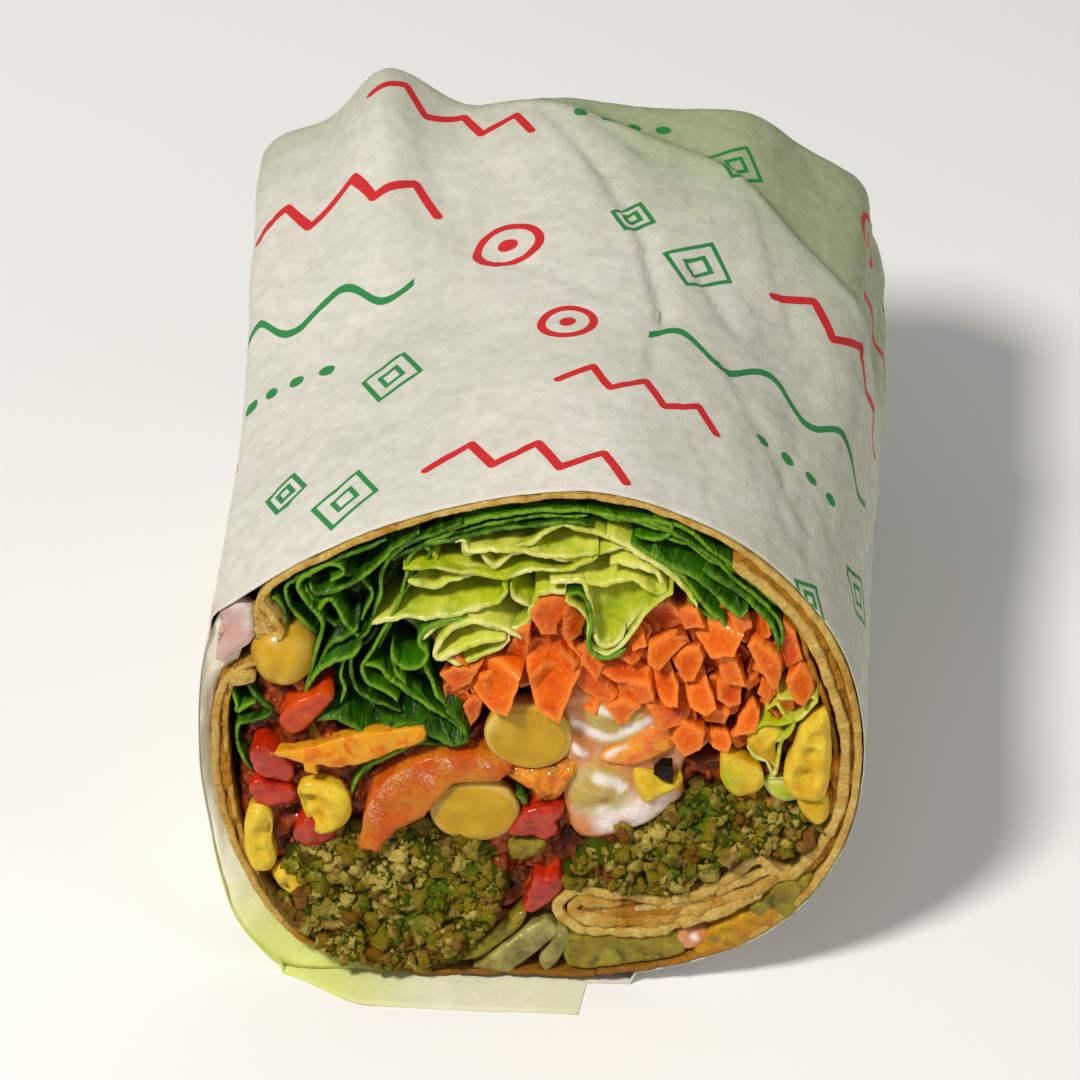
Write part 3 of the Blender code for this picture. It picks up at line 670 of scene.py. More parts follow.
def falafel_finish(colours):
    """Falafel: straw-coloured, tan and green crumbs, with a red-brown crust."""
    f = Finish("falafel")
    tone, rim, stain = f.mark("tone"), f.mark("rim"), f.mark("stain")
    patch = f.cloud(0.3, 3, 0.6)
    fine = f.cloud(2.4, 4, 0.65)
    mid = f.cloud(0.8, 3, 0.6)
    green = f.about(HERBED)
    pale = f.about(PALER)
    bright = f.between(mid * 0.5 + tone * 0.7 + pale * 0.35, 0.45, 0.95)
    base = f.blend(bright, colours.falafel, colours.falafel_pale)
    herbs = patch + (tone - 0.5).size() * 0.3 + green * 0.22 - pale * 0.1
    base = f.blend(f.between(herbs, 0.62, 0.78) * 0.85, base, colours.falafel_green)
    base = f.blend(f.between(f.cloud(0.35, 3, 0.6) + tone * 0.25, 0.68, 0.8) * 0.6, base, colours.crust)
    # Painted shade: darker in fine pits and deep in the wrap.
    base = f.blend(f.between(fine, 0.5, 0.3) * 0.6, base, colours.falafel_dark)
    base = f.shaded(base, colours.falafel_dark, 0.2, 2.0, 0.8)
    browned = f.about(CRUSTED, stain + rim * 0.45)
    fried = f.between(browned + mid * 0.5, 0.8, 1.1) * (0.5 + tone.most(0.0) * 0.4)
    base = f.blend(fried, base, colours.crust)
    # Painted shade in the gaps between the crumbs: the base under them has a tone below 0.
    base = f.blend(f.between(tone, 0.0, -0.4) * 0.5, base, colours.falafel_dark)
    height = fine + f.cloud(5.0, 3, 0.6) * 0.5
    return f.done(base, f.between(fine, 0.2, 0.8, 0.35, 0.7), f.bumped(height, 0.5), Coat_Weight=0.02,
                  Coat_Roughness=0.3, Specular_IOR_Level=0.06)


def fruit_finish(name, colour, light, deep, wet=0.45, glow=0.0, streaks=1.0, rim_colour=None, stained=None,
                 mottled=0.8):
    """The wet flesh of a diced vegetable, a chickpea or a kernel."""
    f = Finish(name)
    rim, tone, cut = f.mark("rim"), f.mark("tone"), f.mark("face")
    broad = f.cloud(0.38 * streaks, 2)
    fine = f.cloud(2.6, 3, 0.6)
    base = f.blend(f.between(broad * 0.9 + tone * 0.4, 0.4, 0.9), colour, light)
    base = f.blend(f.between(f.cloud(0.5, 2, twist=0.4), 0.48, 0.72) * mottled, base, deep)
    base = f.blend(rim * 0.55 * (0.4 + fine) * cut.most(0.35), base, rim_colour or light)
    # Marked spots in another colour: green on the corn, pale on the onion, and a painted highlight in the
    # sauce's colour on the filmed tomato.
    if stained:
        base = f.blend(f.mark("stain").least(1.0), base, stained)
    # Painted shade: darker deep in the wrap, in the deep colour, which also mottles the flesh at random.
    base = f.shaded(base, deep, 0.8, 5.0, 0.8)
    height = fine * 0.5 + broad * 1.4
    light_in = soft(glow, (1.4, 0.6, 0.1)) if glow else {}
    return f.done(base, f.between(fine, 0.25, 0.8, 0.12, 0.3), f.bumped(height, 0.3), Coat_Weight=wet,
                  Coat_Roughness=0.06, **light_in)


def chickpea_finish(colours):
    """Chickpea: a smooth olive-yellow cut with pale specks, and a thin pale skin."""
    f = Finish("chickpea")
    rim, cut = f.mark("rim"), f.mark("face")
    broad = f.cloud(0.3, 2)
    fine = f.cloud(3.0, 3, 0.6)
    specks = f.between(f.cells(1.1), 0.1, 0.2)
    base = f.blend(f.between(broad, 0.3, 0.75), colours.chickpea, colours.chickpea_light)
    base = f.blend((1 - specks) * 0.35 * cut, base, colours.chickpea_skin)
    base = f.blend(f.between(rim, 0.3, 0.95) * 0.5, base, colours.chickpea_skin)
    base = f.blend(f.mark("stain").least(1.0) * 0.8, base, colours.chickpea_skin)
    base = f.blend((1 - cut) * f.between(broad, 0.35, 0.7) * 0.5, base, colours.chickpea_skin)
    height = fine * 0.4 - specks * 0.3 + broad
    return f.done(base, f.between(fine, 0.2, 0.8, 0.2, 0.4), f.bumped(height, 0.18), Coat_Weight=0.25,
                  Coat_Roughness=0.08, **soft(0.25, (1.2, 0.8, 0.1)))


OLIVE_SAUCE = (((7.6, 30), 7.0), ((9.6, 40.6), 6.5))  # where a chickpea shows through it


def sauce_finish(colours):
    """Yoghurt sauce: milky and glossy, clearer towards its edges, where juice and chickpea show through."""
    f = Finish("sauce")
    stain = f.mark("stain")
    cloudy = f.cloud(0.4, 3)
    olive = f.about(OLIVE_SAUCE)
    base = f.blend(f.between(olive + cloudy * 0.3, 0.3, 0.7), colours.sauce_pink, colours.sauce_stain)
    milk = f.between(stain + (cloudy - 0.5) * 0.7, 0.1, 1.0)
    base = f.blend((milk * 0.85 + f.between(cloudy, 0.45, 0.75) * 0.15).least(0.95), base, colours.sauce)
    height = f.cloud(0.45, 2) + f.cloud(2.5, 2) * 0.12
    return f.done(base, f.between(cloudy, 0.2, 0.8, 0.08, 0.2), f.bumped(height, 0.5), Coat_Weight=0.6,
                  Coat_Roughness=0.04)


def paper_finish(colours):
    """Greaseproof paper: thin, off-white, printed in red and green, with lime on its lower corner."""
    f = Finish("printed paper")
    face = f.mark("face")
    grain = f.cloud(3.0, 4, 0.6)
    mottle = f.cloud(0.5, 4, 0.6)
    broad = f.cloud(0.035, 2)
    base = f.blend(f.between(mottle, 0.3, 0.75), colours.paper, colours.paper_shade)
    base = f.blend(f.between(broad, 0.45, 0.75) * 0.3, base, colours.paper_green)
    # Painted shade with a green cast where the last mark is above 0, and painted light where it is below 0.
    base = f.blend(f.mark("stain") * (0.6 + mottle * 0.5), base, colours.paper_green)
    base = f.blend(f.mark("stain") * -1, base, colours.paper_bright)
    base = f.blend(f.mark("rim").least(1.0), base, colours.paper_lime)
    greasy = f.mark("tone") * f.between(f.cloud(0.25, 3), 0.25, 0.7, 0.3, 1.0)
    base = f.blend(greasy, base, colours.paper_soaked)
    red, green = printed(f, f.run())
    ink = 0.88 + grain * 0.2
    base = f.blend((red * ink * face).least(0.97), base, colours.print_red)
    base = f.blend((green * ink * face).least(0.96), base, colours.print_green)
    facets = f.cells(0.07, where=f.scaled(f.place, (1.0, 0.6, 1.0))) + f.cells(0.16) * 0.35
    height = grain * 0.07 + mottle * 0.15 + facets
    return f.done(base, f.between(mottle, 0.3, 0.7, 0.45, 0.65), f.bumped(height, 0.9))


PRINT = 1.32  # how much larger the print is than its drawing


def printed(f, run):
    """The masks of the red and the green print: plain shapes on slanting tiles."""
    part = f.node("ShaderNodeSeparateXYZ", None, (run,))
    turn, wide, high = 0.24, 58.0, 47.0
    x = (part["X"] * math.cos(turn) + part["Y"] * math.sin(turn)) / PRINT
    y = (part["Y"] * math.cos(turn) - part["X"] * math.sin(turn)) / PRINT
    up = y / high + 0.15
    along = x / wide + up.only("FLOOR") * 0.41 + 0.3
    p = ((along.only("FRACT") - 0.5) * wide, (up.only("FRACT") - 0.5) * high)

    def line(distance, wide):
        """Ink where a distance is less than half the line's width."""
        return 1 - f.between(distance.size(), wide / 2 - 0.05, wide / 2 + 0.06)

    def about(middle, turn=0.0):
        """Coordinates about a middle, turned."""
        a, b = p[0] - middle[0], p[1] - middle[1]
        c, s = math.cos(turn), math.sin(turn)
        return a * c + b * s, b * c - a * s

    def length_of(a, b):
        """The length of a vector with these parts."""
        return (a * a + b * b) ** 0.5

    def ring(middle, radius, wide):
        """A ring with a dot in its middle."""
        away = length_of(*about(middle))
        return line(away - radius, wide).most(1 - f.between(away, radius * 0.3, radius * 0.3 + 0.15))

    def stroke(middle, half, turn, wide):
        """A short straight stroke with round ends."""
        a, b = about(middle, turn)
        return line(length_of((a.size() - half).most(0.0), b), wide)

    def zigzag(first, half, wide):
        """Strokes that lean to and fro, end to end."""
        count, turn = 6, 0.85
        step = 2 * half * math.cos(turn)
        ink = stroke(first, half, turn, wide)
        for k in range(1, count):
            ink = ink.most(stroke((first[0] + step * k, first[1]), half, turn * (-1) ** k, wide))
        return ink

    def diamond(middle, radius, wide):
        """Two diamonds, one in the other."""
        a, b = about(middle)
        away = (a.size() * 1.25 + b.size()) * 0.7
        return line(away - radius * 0.7, wide).most(line(away - radius * 0.28, wide))

    def wave(middle, half, high, turn, wide):
        """A wavy line with straight-cut ends."""
        a, b = about(middle, turn)
        away = (b - (a * 0.62).only("SINE") * high) * 0.72
        return line(away, wide) * (1 - f.between(a.size(), half, half + 0.15))

    red = zigzag((-12.5, 16), 2.6, 1.05).most(zigzag((6, -15.5), 2.1, 0.95))
    red = red.most(ring((-23.5, 9), 3.4, 1.0)).most(ring((23.5, -6), 2.7, 0.9))
    green = wave((0, -1), 15.5, 1.9, -0.22, 0.85)
    for middle, radius in (((14.5, 12), 4.4), ((23, 17), 2.8), ((-18, -14), 4.0)):
        green = green.most(diamond(middle, radius, 0.6))
    for k in range(4):
        away = length_of(*about((-9 + 3.1 * k, -9.5 - 0.8 * k)))
        green = green.most(1 - f.between(away, 0.75, 0.9))
    return red, green


# ---- Settings ----


def shade(name, code, description):
    """A colour that a user can change."""
    return bpy.props.FloatVectorProperty(
        name=name, description=description, subtype="COLOR", size=4, min=0.0, max=1.0, default=tint(code),
    )


def length(name, millimetres, description):
    """A length that a user can change."""
    return bpy.props.FloatProperty(
        name=name, description=description, unit="LENGTH", min=0.0, precision=4, default=millimetres * MM,
    )


class WrapColours(bpy.types.PropertyGroup):
    """The colours of the food and the paper."""

    leaf: shade("Leaf", "2f6804", "Broad face of a dark leaf")
    leaf_dark: shade("Leaf shade", "0f2e02", "Deep green between folds")
    # Painted shade deep between the leaves.
    leaf_deep: shade("Leaf depth", "0b1a02", "Between the leaves")
    leaf_vein: shade("Leaf vein", "4c8410", "Veins of a dark leaf")
    leaf_edge: shade("Leaf edge", "6f9a1e", "Cut edge of a dark leaf")
    lettuce: shade("Lettuce", "a8b410", "Body of the pale lettuce")
    lettuce_pale: shade("Lettuce rib", "cfd052", "Watery ribs of the lettuce")
    lettuce_green: shade("Lettuce green", "7d980a", "Green patches of the lettuce")
    # Painted shade deep between the lettuce.
    lettuce_deep: shade("Lettuce depth", "4c4a04", "Between the lettuce")
    lettuce_edge: shade("Lettuce edge", "e4e094", "Cut edge of the lettuce")
    bread: shade("Tortilla", "bd9238", "Soft inside of the tortilla")
    bread_cream: shade("Tortilla crumb", "dcc070", "Pale crumb of the tortilla")
    # Also paints shade at the bottom of the wall.
    bread_soaked: shade("Soaked tortilla", "a86c06", "Where juice has soaked in")
    # Also painted shade deep in the cut and at the bottom of the wall.
    bread_toast: shade("Toasted tortilla", "623c08", "Browned skin")
    carrot: shade("Carrot", "cc3c00", "Body of the carrot")
    # Painted light on the carrot ends with a high tone, and the body of the thick slice.
    carrot_light: shade("Carrot light", "d85a02", "Bright face of the carrot")
    # On the carrot also painted shade, on the ends with a low tone.
    carrot_deep: shade("Carrot deep", "ac2600", "Deep parts of the carrot")
    # Painted shade deep between the sticks.
    carrot_dark: shade("Carrot depth", "641000", "Between the sticks")
    carrot_edge: shade("Carrot edge", "f8923a", "Dry cut edges")
    # Also a painted highlight along the slice's upper edge.
    slab: shade("Carrot skin", "fbc896", "Pale streaks of the thick slice")
    falafel: shade("Falafel", "8c7818", "Body of the falafel")
    falafel_pale: shade("Falafel crumb", "d0bc5c", "Pale crumbs")
    falafel_green: shade("Falafel herb", "54740a", "Green parts of the mix")
    # Painted shade in the pits, deep in the wrap and in the gaps between the crumbs; on the pickle, darker
    # mottling and painted shade.
    falafel_dark: shade("Falafel shade", "2a2606", "Pits between the crumbs")
    crust: shade("Falafel crust", "74300e", "Fried crust")
    salsa: shade("Salsa", "7c2a06", "Chopped tomato and juice")
    salsa_light: shade("Salsa light", "b04c0a", "Wet bright spots")
    # Painted shade between the pieces, and darker mottling.
    salsa_deep: shade("Salsa deep", "2a0802", "Between the pieces")
    sauce: shade("Sauce", "eee6de", "Yoghurt sauce")
    sauce_pink: shade("Pink sauce", "c87e40", "Sauce with a little tomato juice")
    sauce_stain: shade("Stained sauce", "b89a40", "Sauce mixed with juice")
    chickpea: shade("Chickpea", "b88c06", "Cut chickpea")
    chickpea_light: shade("Chickpea light", "c69e1c", "Bright part of a chickpea")
    chickpea_skin: shade("Chickpea skin", "dcc272", "Thin skin and specks")
    corn: shade("Corn", "ca9802", "Corn kernel")
    corn_light: shade("Corn light", "e4c838", "Bright part of a kernel")
    corn_deep: shade("Corn deep", "a86c02", "Deep part of a kernel")
    pepper: shade("Red pepper", "980f02", "Diced red pepper")
    pepper_light: shade("Pepper light", "c83205", "Bright face of a pepper")
    pepper_deep: shade("Pepper deep", "4c0401", "Dark side of a pepper")
    tomato: shade("Tomato", "e27a38", "Tomato under a film of sauce")
    orange: shade("Orange pepper", "d65206", "Orange dice and tomato")
    strip: shade("Carrot strip", "e09a1a", "The thin strip and pale tomato")
    pickle: shade("Pickle", "74620a", "Pickled cucumber")
    pickle_light: shade("Pickle light", "9c8e22", "Bright part of the pickle")
    onion: shade("Onion", "584c12", "Onion strips")
    onion_light: shade("Onion light", "a89c54", "White edges of the onion")
    olive: shade("Olive", "0c0a06", "Bit of black olive")
    paper: shade("Paper", "d8d5ca", "The paper")
    paper_bright: shade("Lit paper", "fbf8e6", "Paper that the light shines through")
    paper_shade: shade("Paper shade", "c9c7ba", "Mottling of the paper")
    paper_green: shade("Paper tint", "94a374", "Greenish shade on the paper")
    paper_lime: shade("Paper lime", "d2dc62", "Lime field on the lower corner")
    paper_soaked: shade("Greasy paper", "c99a90", "Where the paper is soaked")
    print_red: shade("Red print", "c8121c", "Red ink")
    print_green: shade("Green print", "10803c", "Green ink")
    floor: shade("Floor", "f2f2f0", "The surface that the wrap lies on")


class WrapSizes(bpy.types.PropertyGroup):
    """The sizes of repeated things."""

    leaf: length("Leaf thickness", 0.55, "Thickness of a dark leaf")
    lettuce: length("Lettuce thickness", 0.65, "Thickness of the pale lettuce")
    bread: length("Tortilla thickness", 1.4, "Thickness of one layer of bread")
    stick: length("Carrot stick", 3.2, "Width of a stick of shredded carrot")
    crumb: length("Crumb", 0.85, "Middling size of a falafel crumb")
    crumb_gap: length("Crumb spacing", 0.75, "Least distance between two crumbs")
    paper: length("Paper thickness", 0.16, "Thickness of the paper")
    seed: bpy.props.IntProperty(name="Seed", description="Changes all that is random", default=4, min=0)


class WrapSettings(bpy.types.PropertyGroup):
    """What a user can change."""

    colours: bpy.props.PointerProperty(name="Colours", description="Colours of the pieces", type=WrapColours)
    sizes: bpy.props.PointerProperty(name="Sizes", description="Sizes of repeated things", type=WrapSizes)


# ---- Node trees ----


def new_tree(title, inputs):
    """An empty Geometry Nodes tree with named inputs, and its group input."""
    tree = bpy.data.node_groups.new(title, "GeometryNodeTree")
    tree.interface.new_socket("Geometry", in_out="INPUT", socket_type="NodeSocketGeometry")
    for name, kind in inputs:
        tree.interface.new_socket(name, in_out="INPUT", socket_type="NodeSocket" + kind)
    tree.interface.new_socket("Geometry", in_out="OUTPUT", socket_type="NodeSocketGeometry")
    wires = Wires(tree)
    return wires, wires.node("NodeGroupInput")


def attribute(wires, title, kind="FLOAT"):
    """A named attribute's value."""
    return wires.node("GeometryNodeInputNamedAttribute", {"data_type": kind}, (title,))["Attribute"]


def laid_shapes(wires, start, points, turn, more):
    """Lays the shapes of the tree's collection on points."""
    shapes = wires.node("GeometryNodeCollectionInfo", None, {
        "Collection": start["Shapes"], "Separate Children": True, "Reset Children": True,
    })
    rotation = wires.node("FunctionNodeEulerToRotation", None, (turn,))
    return wires.node("GeometryNodeInstanceOnPoints", None, {
        "Points": points, "Instance": shapes, "Pick Instance": True, "Rotation": rotation, **more,
    })


def painted(wires, start, geometry):
    """Ends the tree with a geometry in the given material."""
    values = {"Geometry": geometry, "Material": start["Material"]}
    wires.node("NodeGroupOutput", None, (wires.node("GeometryNodeSetMaterial", None, values),))
    return wires.tree


def sticks_tree():
    """Lays shapes on points, by the turn, size and kind that each point holds."""
    wires, start = new_tree("laid shapes", (("Shapes", "Collection"), ("Material", "Material")))
    laid = laid_shapes(wires, start, start["Geometry"], attribute(wires, "turn", "FLOAT_VECTOR"), {
        "Instance Index": attribute(wires, "kind", "INT"), "Scale": attribute(wires, "size", "FLOAT_VECTOR"),
    })
    return painted(wires, start, wires.node("GeometryNodeRealizeInstances", None, (laid,)))


def crumbs_tree():
    """Strews shapes over the worked front of a surface and joins them to it."""
    wires, start = new_tree("strewn shapes", (
        ("Shapes", "Collection"), ("Material", "Material"), ("Gap", "Float"), ("Density", "Float"),
        ("Smallest", "Float"), ("Largest", "Float"), ("Lift", "Float"), ("Seed", "Int"),
    ))

    def chance(offset):
        """A number from 0 to 1 for each shape."""
        seed = start["Seed"] + offset
        drawn = wires.node("FunctionNodeRandomValue", {"data_type": "FLOAT"}, {"Seed": seed})
        return Link(wires, drawn.socket.node.outputs[1])

    face = attribute(wires, "face")
    spots = wires.node("GeometryNodeDistributePointsOnFaces", {"distribute_method": "POISSON"}, {
        "Mesh": start["Geometry"], "Selection": face.maths("GREATER_THAN", face, 0.6),
        "Distance Min": start["Gap"], "Density Max": start["Density"], "Seed": start["Seed"],
    })
    lift = wires.node("ShaderNodeVectorMath", {"operation": "SCALE"}, {
        0: spots["Normal"], "Scale": start["Lift"],
    })
    raised = wires.node("GeometryNodeSetPosition", None, {"Geometry": spots, "Offset": lift})
    turn = wires.node("FunctionNodeRandomValue", {"data_type": "FLOAT_VECTOR"}, {
        0: (0, 0, 0), 1: (2 * math.pi, 2 * math.pi, 2 * math.pi), "Seed": start["Seed"],
    })
    size = start["Smallest"] + (chance(3) ** 2.2) * (start["Largest"] - start["Smallest"])
    laid = laid_shapes(wires, start, raised, turn, {"Scale": size})
    toned = wires.node("GeometryNodeStoreNamedAttribute", {"data_type": "FLOAT", "domain": "INSTANCE"}, {
        "Geometry": laid, "Name": "tone", "Value": chance(5),
    })
    real = wires.node("GeometryNodeRealizeInstances", None, (toned,))
    joined = wires.node("GeometryNodeJoinGeometry")
    for part in (real, start["Geometry"]):
        wires.tree.links.new(part.socket, joined.socket.node.inputs[0])
    return painted(wires, start, joined)


def made_by(tree, base, name, shapes, **values):
    """Runs a tree on a base with loose shapes to lay, and keeps the result as a plain mesh."""
    group = bpy.data.collections.new("shapes of " + name)
    for shape in shapes:
        group.objects.link(shape)
    step = base.modifiers.new("step", "NODES")
    step.node_group = tree
    given = {**values, "Shapes": group}
    for socket in tree.interface.items_tree:
        if socket.in_out == "INPUT" and socket.name in given:
            step[socket.identifier] = given[socket.name]
    bpy.context.view_layer.update()
    graph = bpy.context.evaluated_depsgraph_get()
    mesh = bpy.data.meshes.new_from_object(base.evaluated_get(graph))
    for thing in (base, *shapes):
        bpy.data.objects.remove(thing)
    bpy.data.collections.remove(group)
    item = bpy.data.objects.new(name, mesh)
    mesh.name = name
    bpy.context.scene.collection.objects.link(item)
    return item


def settle(item, slot, *nodes):
    """Fixes a finished piece to the frame, in the place of the nodes that it stands for."""
    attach(item, "root")
    if nodes:
        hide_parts(*nodes)


# ---- Loose shapes ----


def loose(name, spots, faces, marks, smooth=True):
    """A small mesh that a tree lays many times. It isn't in the scene."""
    return bpy.data.objects.new(name, plain_mesh(name, spots, faces, marks, smooth))


def crumb(seed, uneven, flat, smooth):
    """A rough grain about 1 across."""
    bm = bmesh.new()
    bmesh.ops.create_icosphere(bm, subdivisions=2, radius=0.5)
    for v in bm.verts:
        v.co *= 1 + uneven * 1.8 * wobble(*(v.co * 2.6), seed=seed)
        v.co.z *= flat
    spots = [v.co.copy() for v in bm.verts]
    bm.verts.index_update()
    faces = [[v.index for v in f.verts] for f in bm.faces]
    bm.free()
    marks = {"rim": [0.0] * len(spots), "face": [1.0] * len(spots)}
    return loose(f"crumb {seed:02d}", spots, faces, marks, smooth)


def stick(seed):
    """A stick 1 wide and 1 high, running from 0 to 1 along Y, with a slanted uneven front."""
    dice = random.Random(seed)
    section = []
    count = 16
    for k in range(count):
        angle = 2 * math.pi * (k + 0.5) / count
        reach = 0.5 / max(abs(math.cos(angle)), abs(math.sin(angle))) ** 0.86
        section.append(Vector((math.cos(angle), math.sin(angle))) * reach)
    lean = Vector((dice.uniform(-0.14, 0.14), dice.uniform(-0.12, 0.12)))
    rows = [(0.0, 0.0), (0.0, 0.35), (0.0, 0.7), (0.002, 0.93), (0.02, 1.0)]
    rows += [(t, 1.0) for t in (0.07, 0.16, 0.28, 0.42, 0.58, 0.76, 0.94)] + [(1.0, 0.9), (1.0, 0.0)]
    spots, rim = [], []
    for t, size in rows:
        for p in section:
            across = p * size * (1 + 0.16 * wobble(p.x * 3, t * 5, p.y * 3, seed=seed))
            y = t + lean.dot(p * size) * max(0.0, 1 - t * 2)
            y += 0.012 * wobble(p.x * 5, size * 4, p.y * 5, seed=seed)
            spots.append((across.x, y, across.y))
            corner = (abs(p.x * p.y) * 4) ** 3
            rim.append(max(corner * 0.6, math.exp(-abs(t - 0.01) / 0.02) if size > 0.9 else 0.0))
    faces = []
    for i in range(len(rows) - 1):
        a, b = i * count, (i + 1) * count
        faces += [(a + j, a + (j + 1) % count, b + (j + 1) % count, b + j) for j in range(count)]
    # Depth along the stick, for the painted shade between the sticks.
    deep = [rows[i // count][0] * 8 + 1.5 for i in range(len(rim))]
    item = loose(f"stick {seed:02d}", spots, faces, {"rim": rim, "face": [1.0] * len(rim), "deep": deep})
    bm = bmesh.new()
    bm.from_mesh(item.data)
    bmesh.ops.remove_doubles(bm, verts=bm.verts, dist=1e-5)
    bmesh.ops.recalc_face_normals(bm, faces=bm.faces)
    bm.to_mesh(item.data)
    bm.free()
    item.data.set_sharp_from_angle(angle=math.radians(50))
    return item


# ---- Outlines and places on the cut face, in millimetres ----

# Dark leaves: (front, depth, rise across and up per millimetre of depth), then the leaf's path.
LEAVES_LEFT = (
    ((0.6, 9, 0.0, 0.3), (-35.5, 56), (-33.5, 55.5), (-32.5, 53), (-33, 51), (-35, 50), (-37.5, 47.5)),
    ((0.3, 90, 0.0, 0.0), (-20, 65.5), (-23.5, 64), (-26.5, 62.5), (-30, 61), (-32.3, 59.5), (-32.6, 57.5),
     (-32.3, 55.3), (-30.5, 53), (-28.5, 51)),
    ((0.0, 12, 0.05, 0.12), (-26.8, 58.8), (-25.6, 59.6), (-25, 60.4), (-26, 61.2), (-28, 61), (-30, 59.6),
     (-31, 58), (-30, 55.8), (-28, 53), (-28, 51.2), (-29, 47), (-30, 42.5)),
    ((0.5, 14, 0.0, 0.42), (-29.4, 58), (-28.8, 56.8), (-27, 57), (-24, 58.5), (-21, 61), (-18.5, 63.8),
     (-15.5, 66)),
    ((0.8, 10, 0.05, 0.25), (-30, 57.6), (-29.3, 55.6), (-28.4, 54), (-27, 55.5), (-25.5, 53), (-24.5, 51.5),
     (-23, 50), (-23.4, 48.4)),
    ((-0.4, 9, 0.12, 0.55), (-30, 42.4), (-28.6, 45), (-26.6, 47.2), (-24.4, 48), (-22.8, 49.8)),
    ((0.6, 9, 0.1, 0.6), (-28.4, 46), (-26.8, 49), (-25, 50), (-23.4, 51.6)),
    ((2.0, 14, 0.0, 0.3), (-27, 58.6), (-24, 58.5), (-22, 57), (-21.5, 55.5), (-22.5, 53.5), (-23, 52)),
    ((2.6, 14, 0.1, 0.5), (-28, 52), (-25.6, 50), (-23, 48), (-21, 50.5)),
    ((0.0, 90, 0.0, 0.0), (-10, 68), (-14, 66), (-17, 64.4), (-19, 62.4), (-20.2, 60), (-20.5, 57),
     (-21, 55), (-22, 52), (-23.5, 50), (-24.2, 47), (-24, 45), (-23.4, 43), (-22, 41.8), (-20, 41.2),
     (-17.8, 40)),
    ((0.3, 14, 0.12, 0.1), (-11, 66.8), (-14.4, 64.6), (-16.6, 62.6), (-17.2, 59.4), (-18.5, 55.5),
     (-19.5, 53), (-20.5, 51), (-22, 48), (-22.8, 46), (-22, 44), (-20.5, 43), (-18.4, 41.2)),
    ((0.9, 12, 0.2, 0.15), (-13, 65), (-14.4, 62.6), (-15, 61), (-16.5, 58.6), (-18, 55.8), (-19, 53.2)),
    ((2.4, 12, 0.1, 0.3), (-14.5, 63.5), (-15.4, 60), (-17.6, 56), (-19.5, 51), (-20.8, 47.6)),
    ((0.2, 12, 0.1, 0.3), (-22.4, 46.6), (-20.5, 46), (-19.3, 44.5), (-17.3, 42.7), (-14.5, 41), (-12, 39),
     (-10, 36.8), (-9.5, 35.4)),
    ((-0.6, 14, 0.0, 0.55), (-28.5, 38.5), (-26, 39), (-24, 38), (-22.5, 36.5), (-21, 36), (-19.5, 37),
     (-18, 38.5), (-16, 38), (-13.5, 36.5), (-11, 35.5), (-9.5, 36.5), (-10.5, 39), (-12, 40.5)),
    ((0.8, 10, 0.0, 0.2), (-25, 47), (-25.5, 44.5), (-25, 42.5), (-25.5, 40.5)),
    ((0.6, 12, 0.1, 0.2), (-19, 49.6), (-19, 47.5), (-18.5, 45.5), (-17, 43.5)),
    ((0.8, 12, 0.1, 0.2), (-15, 47), (-14, 44.5), (-13, 42), (-11.5, 39.5)),
    ((2.6, 12, 0.1, 0.6), (-22, 44.5), (-19, 42), (-15, 40), (-12, 38.5)),
    ((1.4, 10, 0.0, 0.2), (-10, 34), (-17, 34), (-21, 31.5), (-24, 27.5)),
    ((0.4, 7, 0.0, 0.3), (-14.5, 35.8), (-18, 34), (-21.5, 31.6), (-23.4, 29.6), (-24.2, 27)),
)
LEAF_SIDE = (
    ((0.4, 20, 0.05, 0.1), (-37.5, 43), (-36.5, 41), (-34.5, 39), (-36.5, 37.5), (-38.5, 37), (-39, 35),
     (-38.5, 32.5), (-37, 30)),
    ((0.8, 14, 0.05, 0.1), (-40, 42), (-39, 39.5), (-39, 38.5), (-36.5, 40)),
)
LEAVES_TOP = (
    ((0.5, 90, 0.0, 0.0), (-15, 65), (-11, 66.8), (-6.5, 68.6), (-2.5, 69.6), (1.5, 70), (5.5, 70),
     (9.5, 69.2), (13.5, 68.2), (17, 67)),
    ((0.9, 16, 0.0, -0.05), (-15, 64), (-11, 66), (-6.5, 67.5), (-2.5, 68.4), (2.5, 69), (5.5, 69.2)),
    ((0.2, 14, 0.0, -0.05), (-19, 62.5), (-15, 64.2), (-9.5, 66), (-4.5, 67.4), (-0.5, 68), (3.5, 68.7),
     (6, 68.4)),
    ((0.3, 12, 0.0, 0.1), (5.5, 70.5), (8.5, 69), (11.5, 69), (14.5, 69), (16, 68.5), (15.5, 67),
     (13.5, 66.5), (11.5, 67)),
    ((0.2, 90, 0.0, 0.0), (12.5, 69.5), (16.5, 67.4), (20.5, 65), (24, 61.6), (27, 58.6), (29, 56.6),
     (30, 55), (30.5, 53), (30, 51)),
    ((0.9, 16, 0.0, 0.0), (14, 70), (18, 67.6), (21.8, 64.2), (25.8, 60.8), (28.8, 58), (31, 55.8),
     (33, 52.6)),
    ((-0.3, 10, 0.12, 0.5), (13.5, 64.6), (17, 62.5), (20.5, 60.4), (23, 57.6), (25, 56), (26, 57)),
    ((-0.2, 12, 0.25, 0.35), (20, 62.5), (24, 60), (26.6, 57.8), (28.4, 55.8), (29.5, 53.4), (30, 51)),
    ((0.0, 12, 0.05, 0.2), (11, 66), (14, 64), (17, 62), (19, 59.4), (20.7, 57), (22.4, 55.4), (23.5, 54)),
    ((1.0, 12, 0.0, 0.3), (18.4, 57.6), (20.4, 55.6), (22, 54.4), (23.6, 54.2)),
    ((0.6, 14, 0.0, 0.1), (15.5, 66.5), (18.5, 65.5), (21, 63.5), (23, 62.5), (24.5, 60.5)),
    ((-1.4, 8, 0.0, 0.15), (3, 59.4), (5, 59.4), (6.2, 57), (6.3, 54.4), (5.8, 52), (6.8, 50.2), (9, 50),
     (10.6, 51.4)),
)
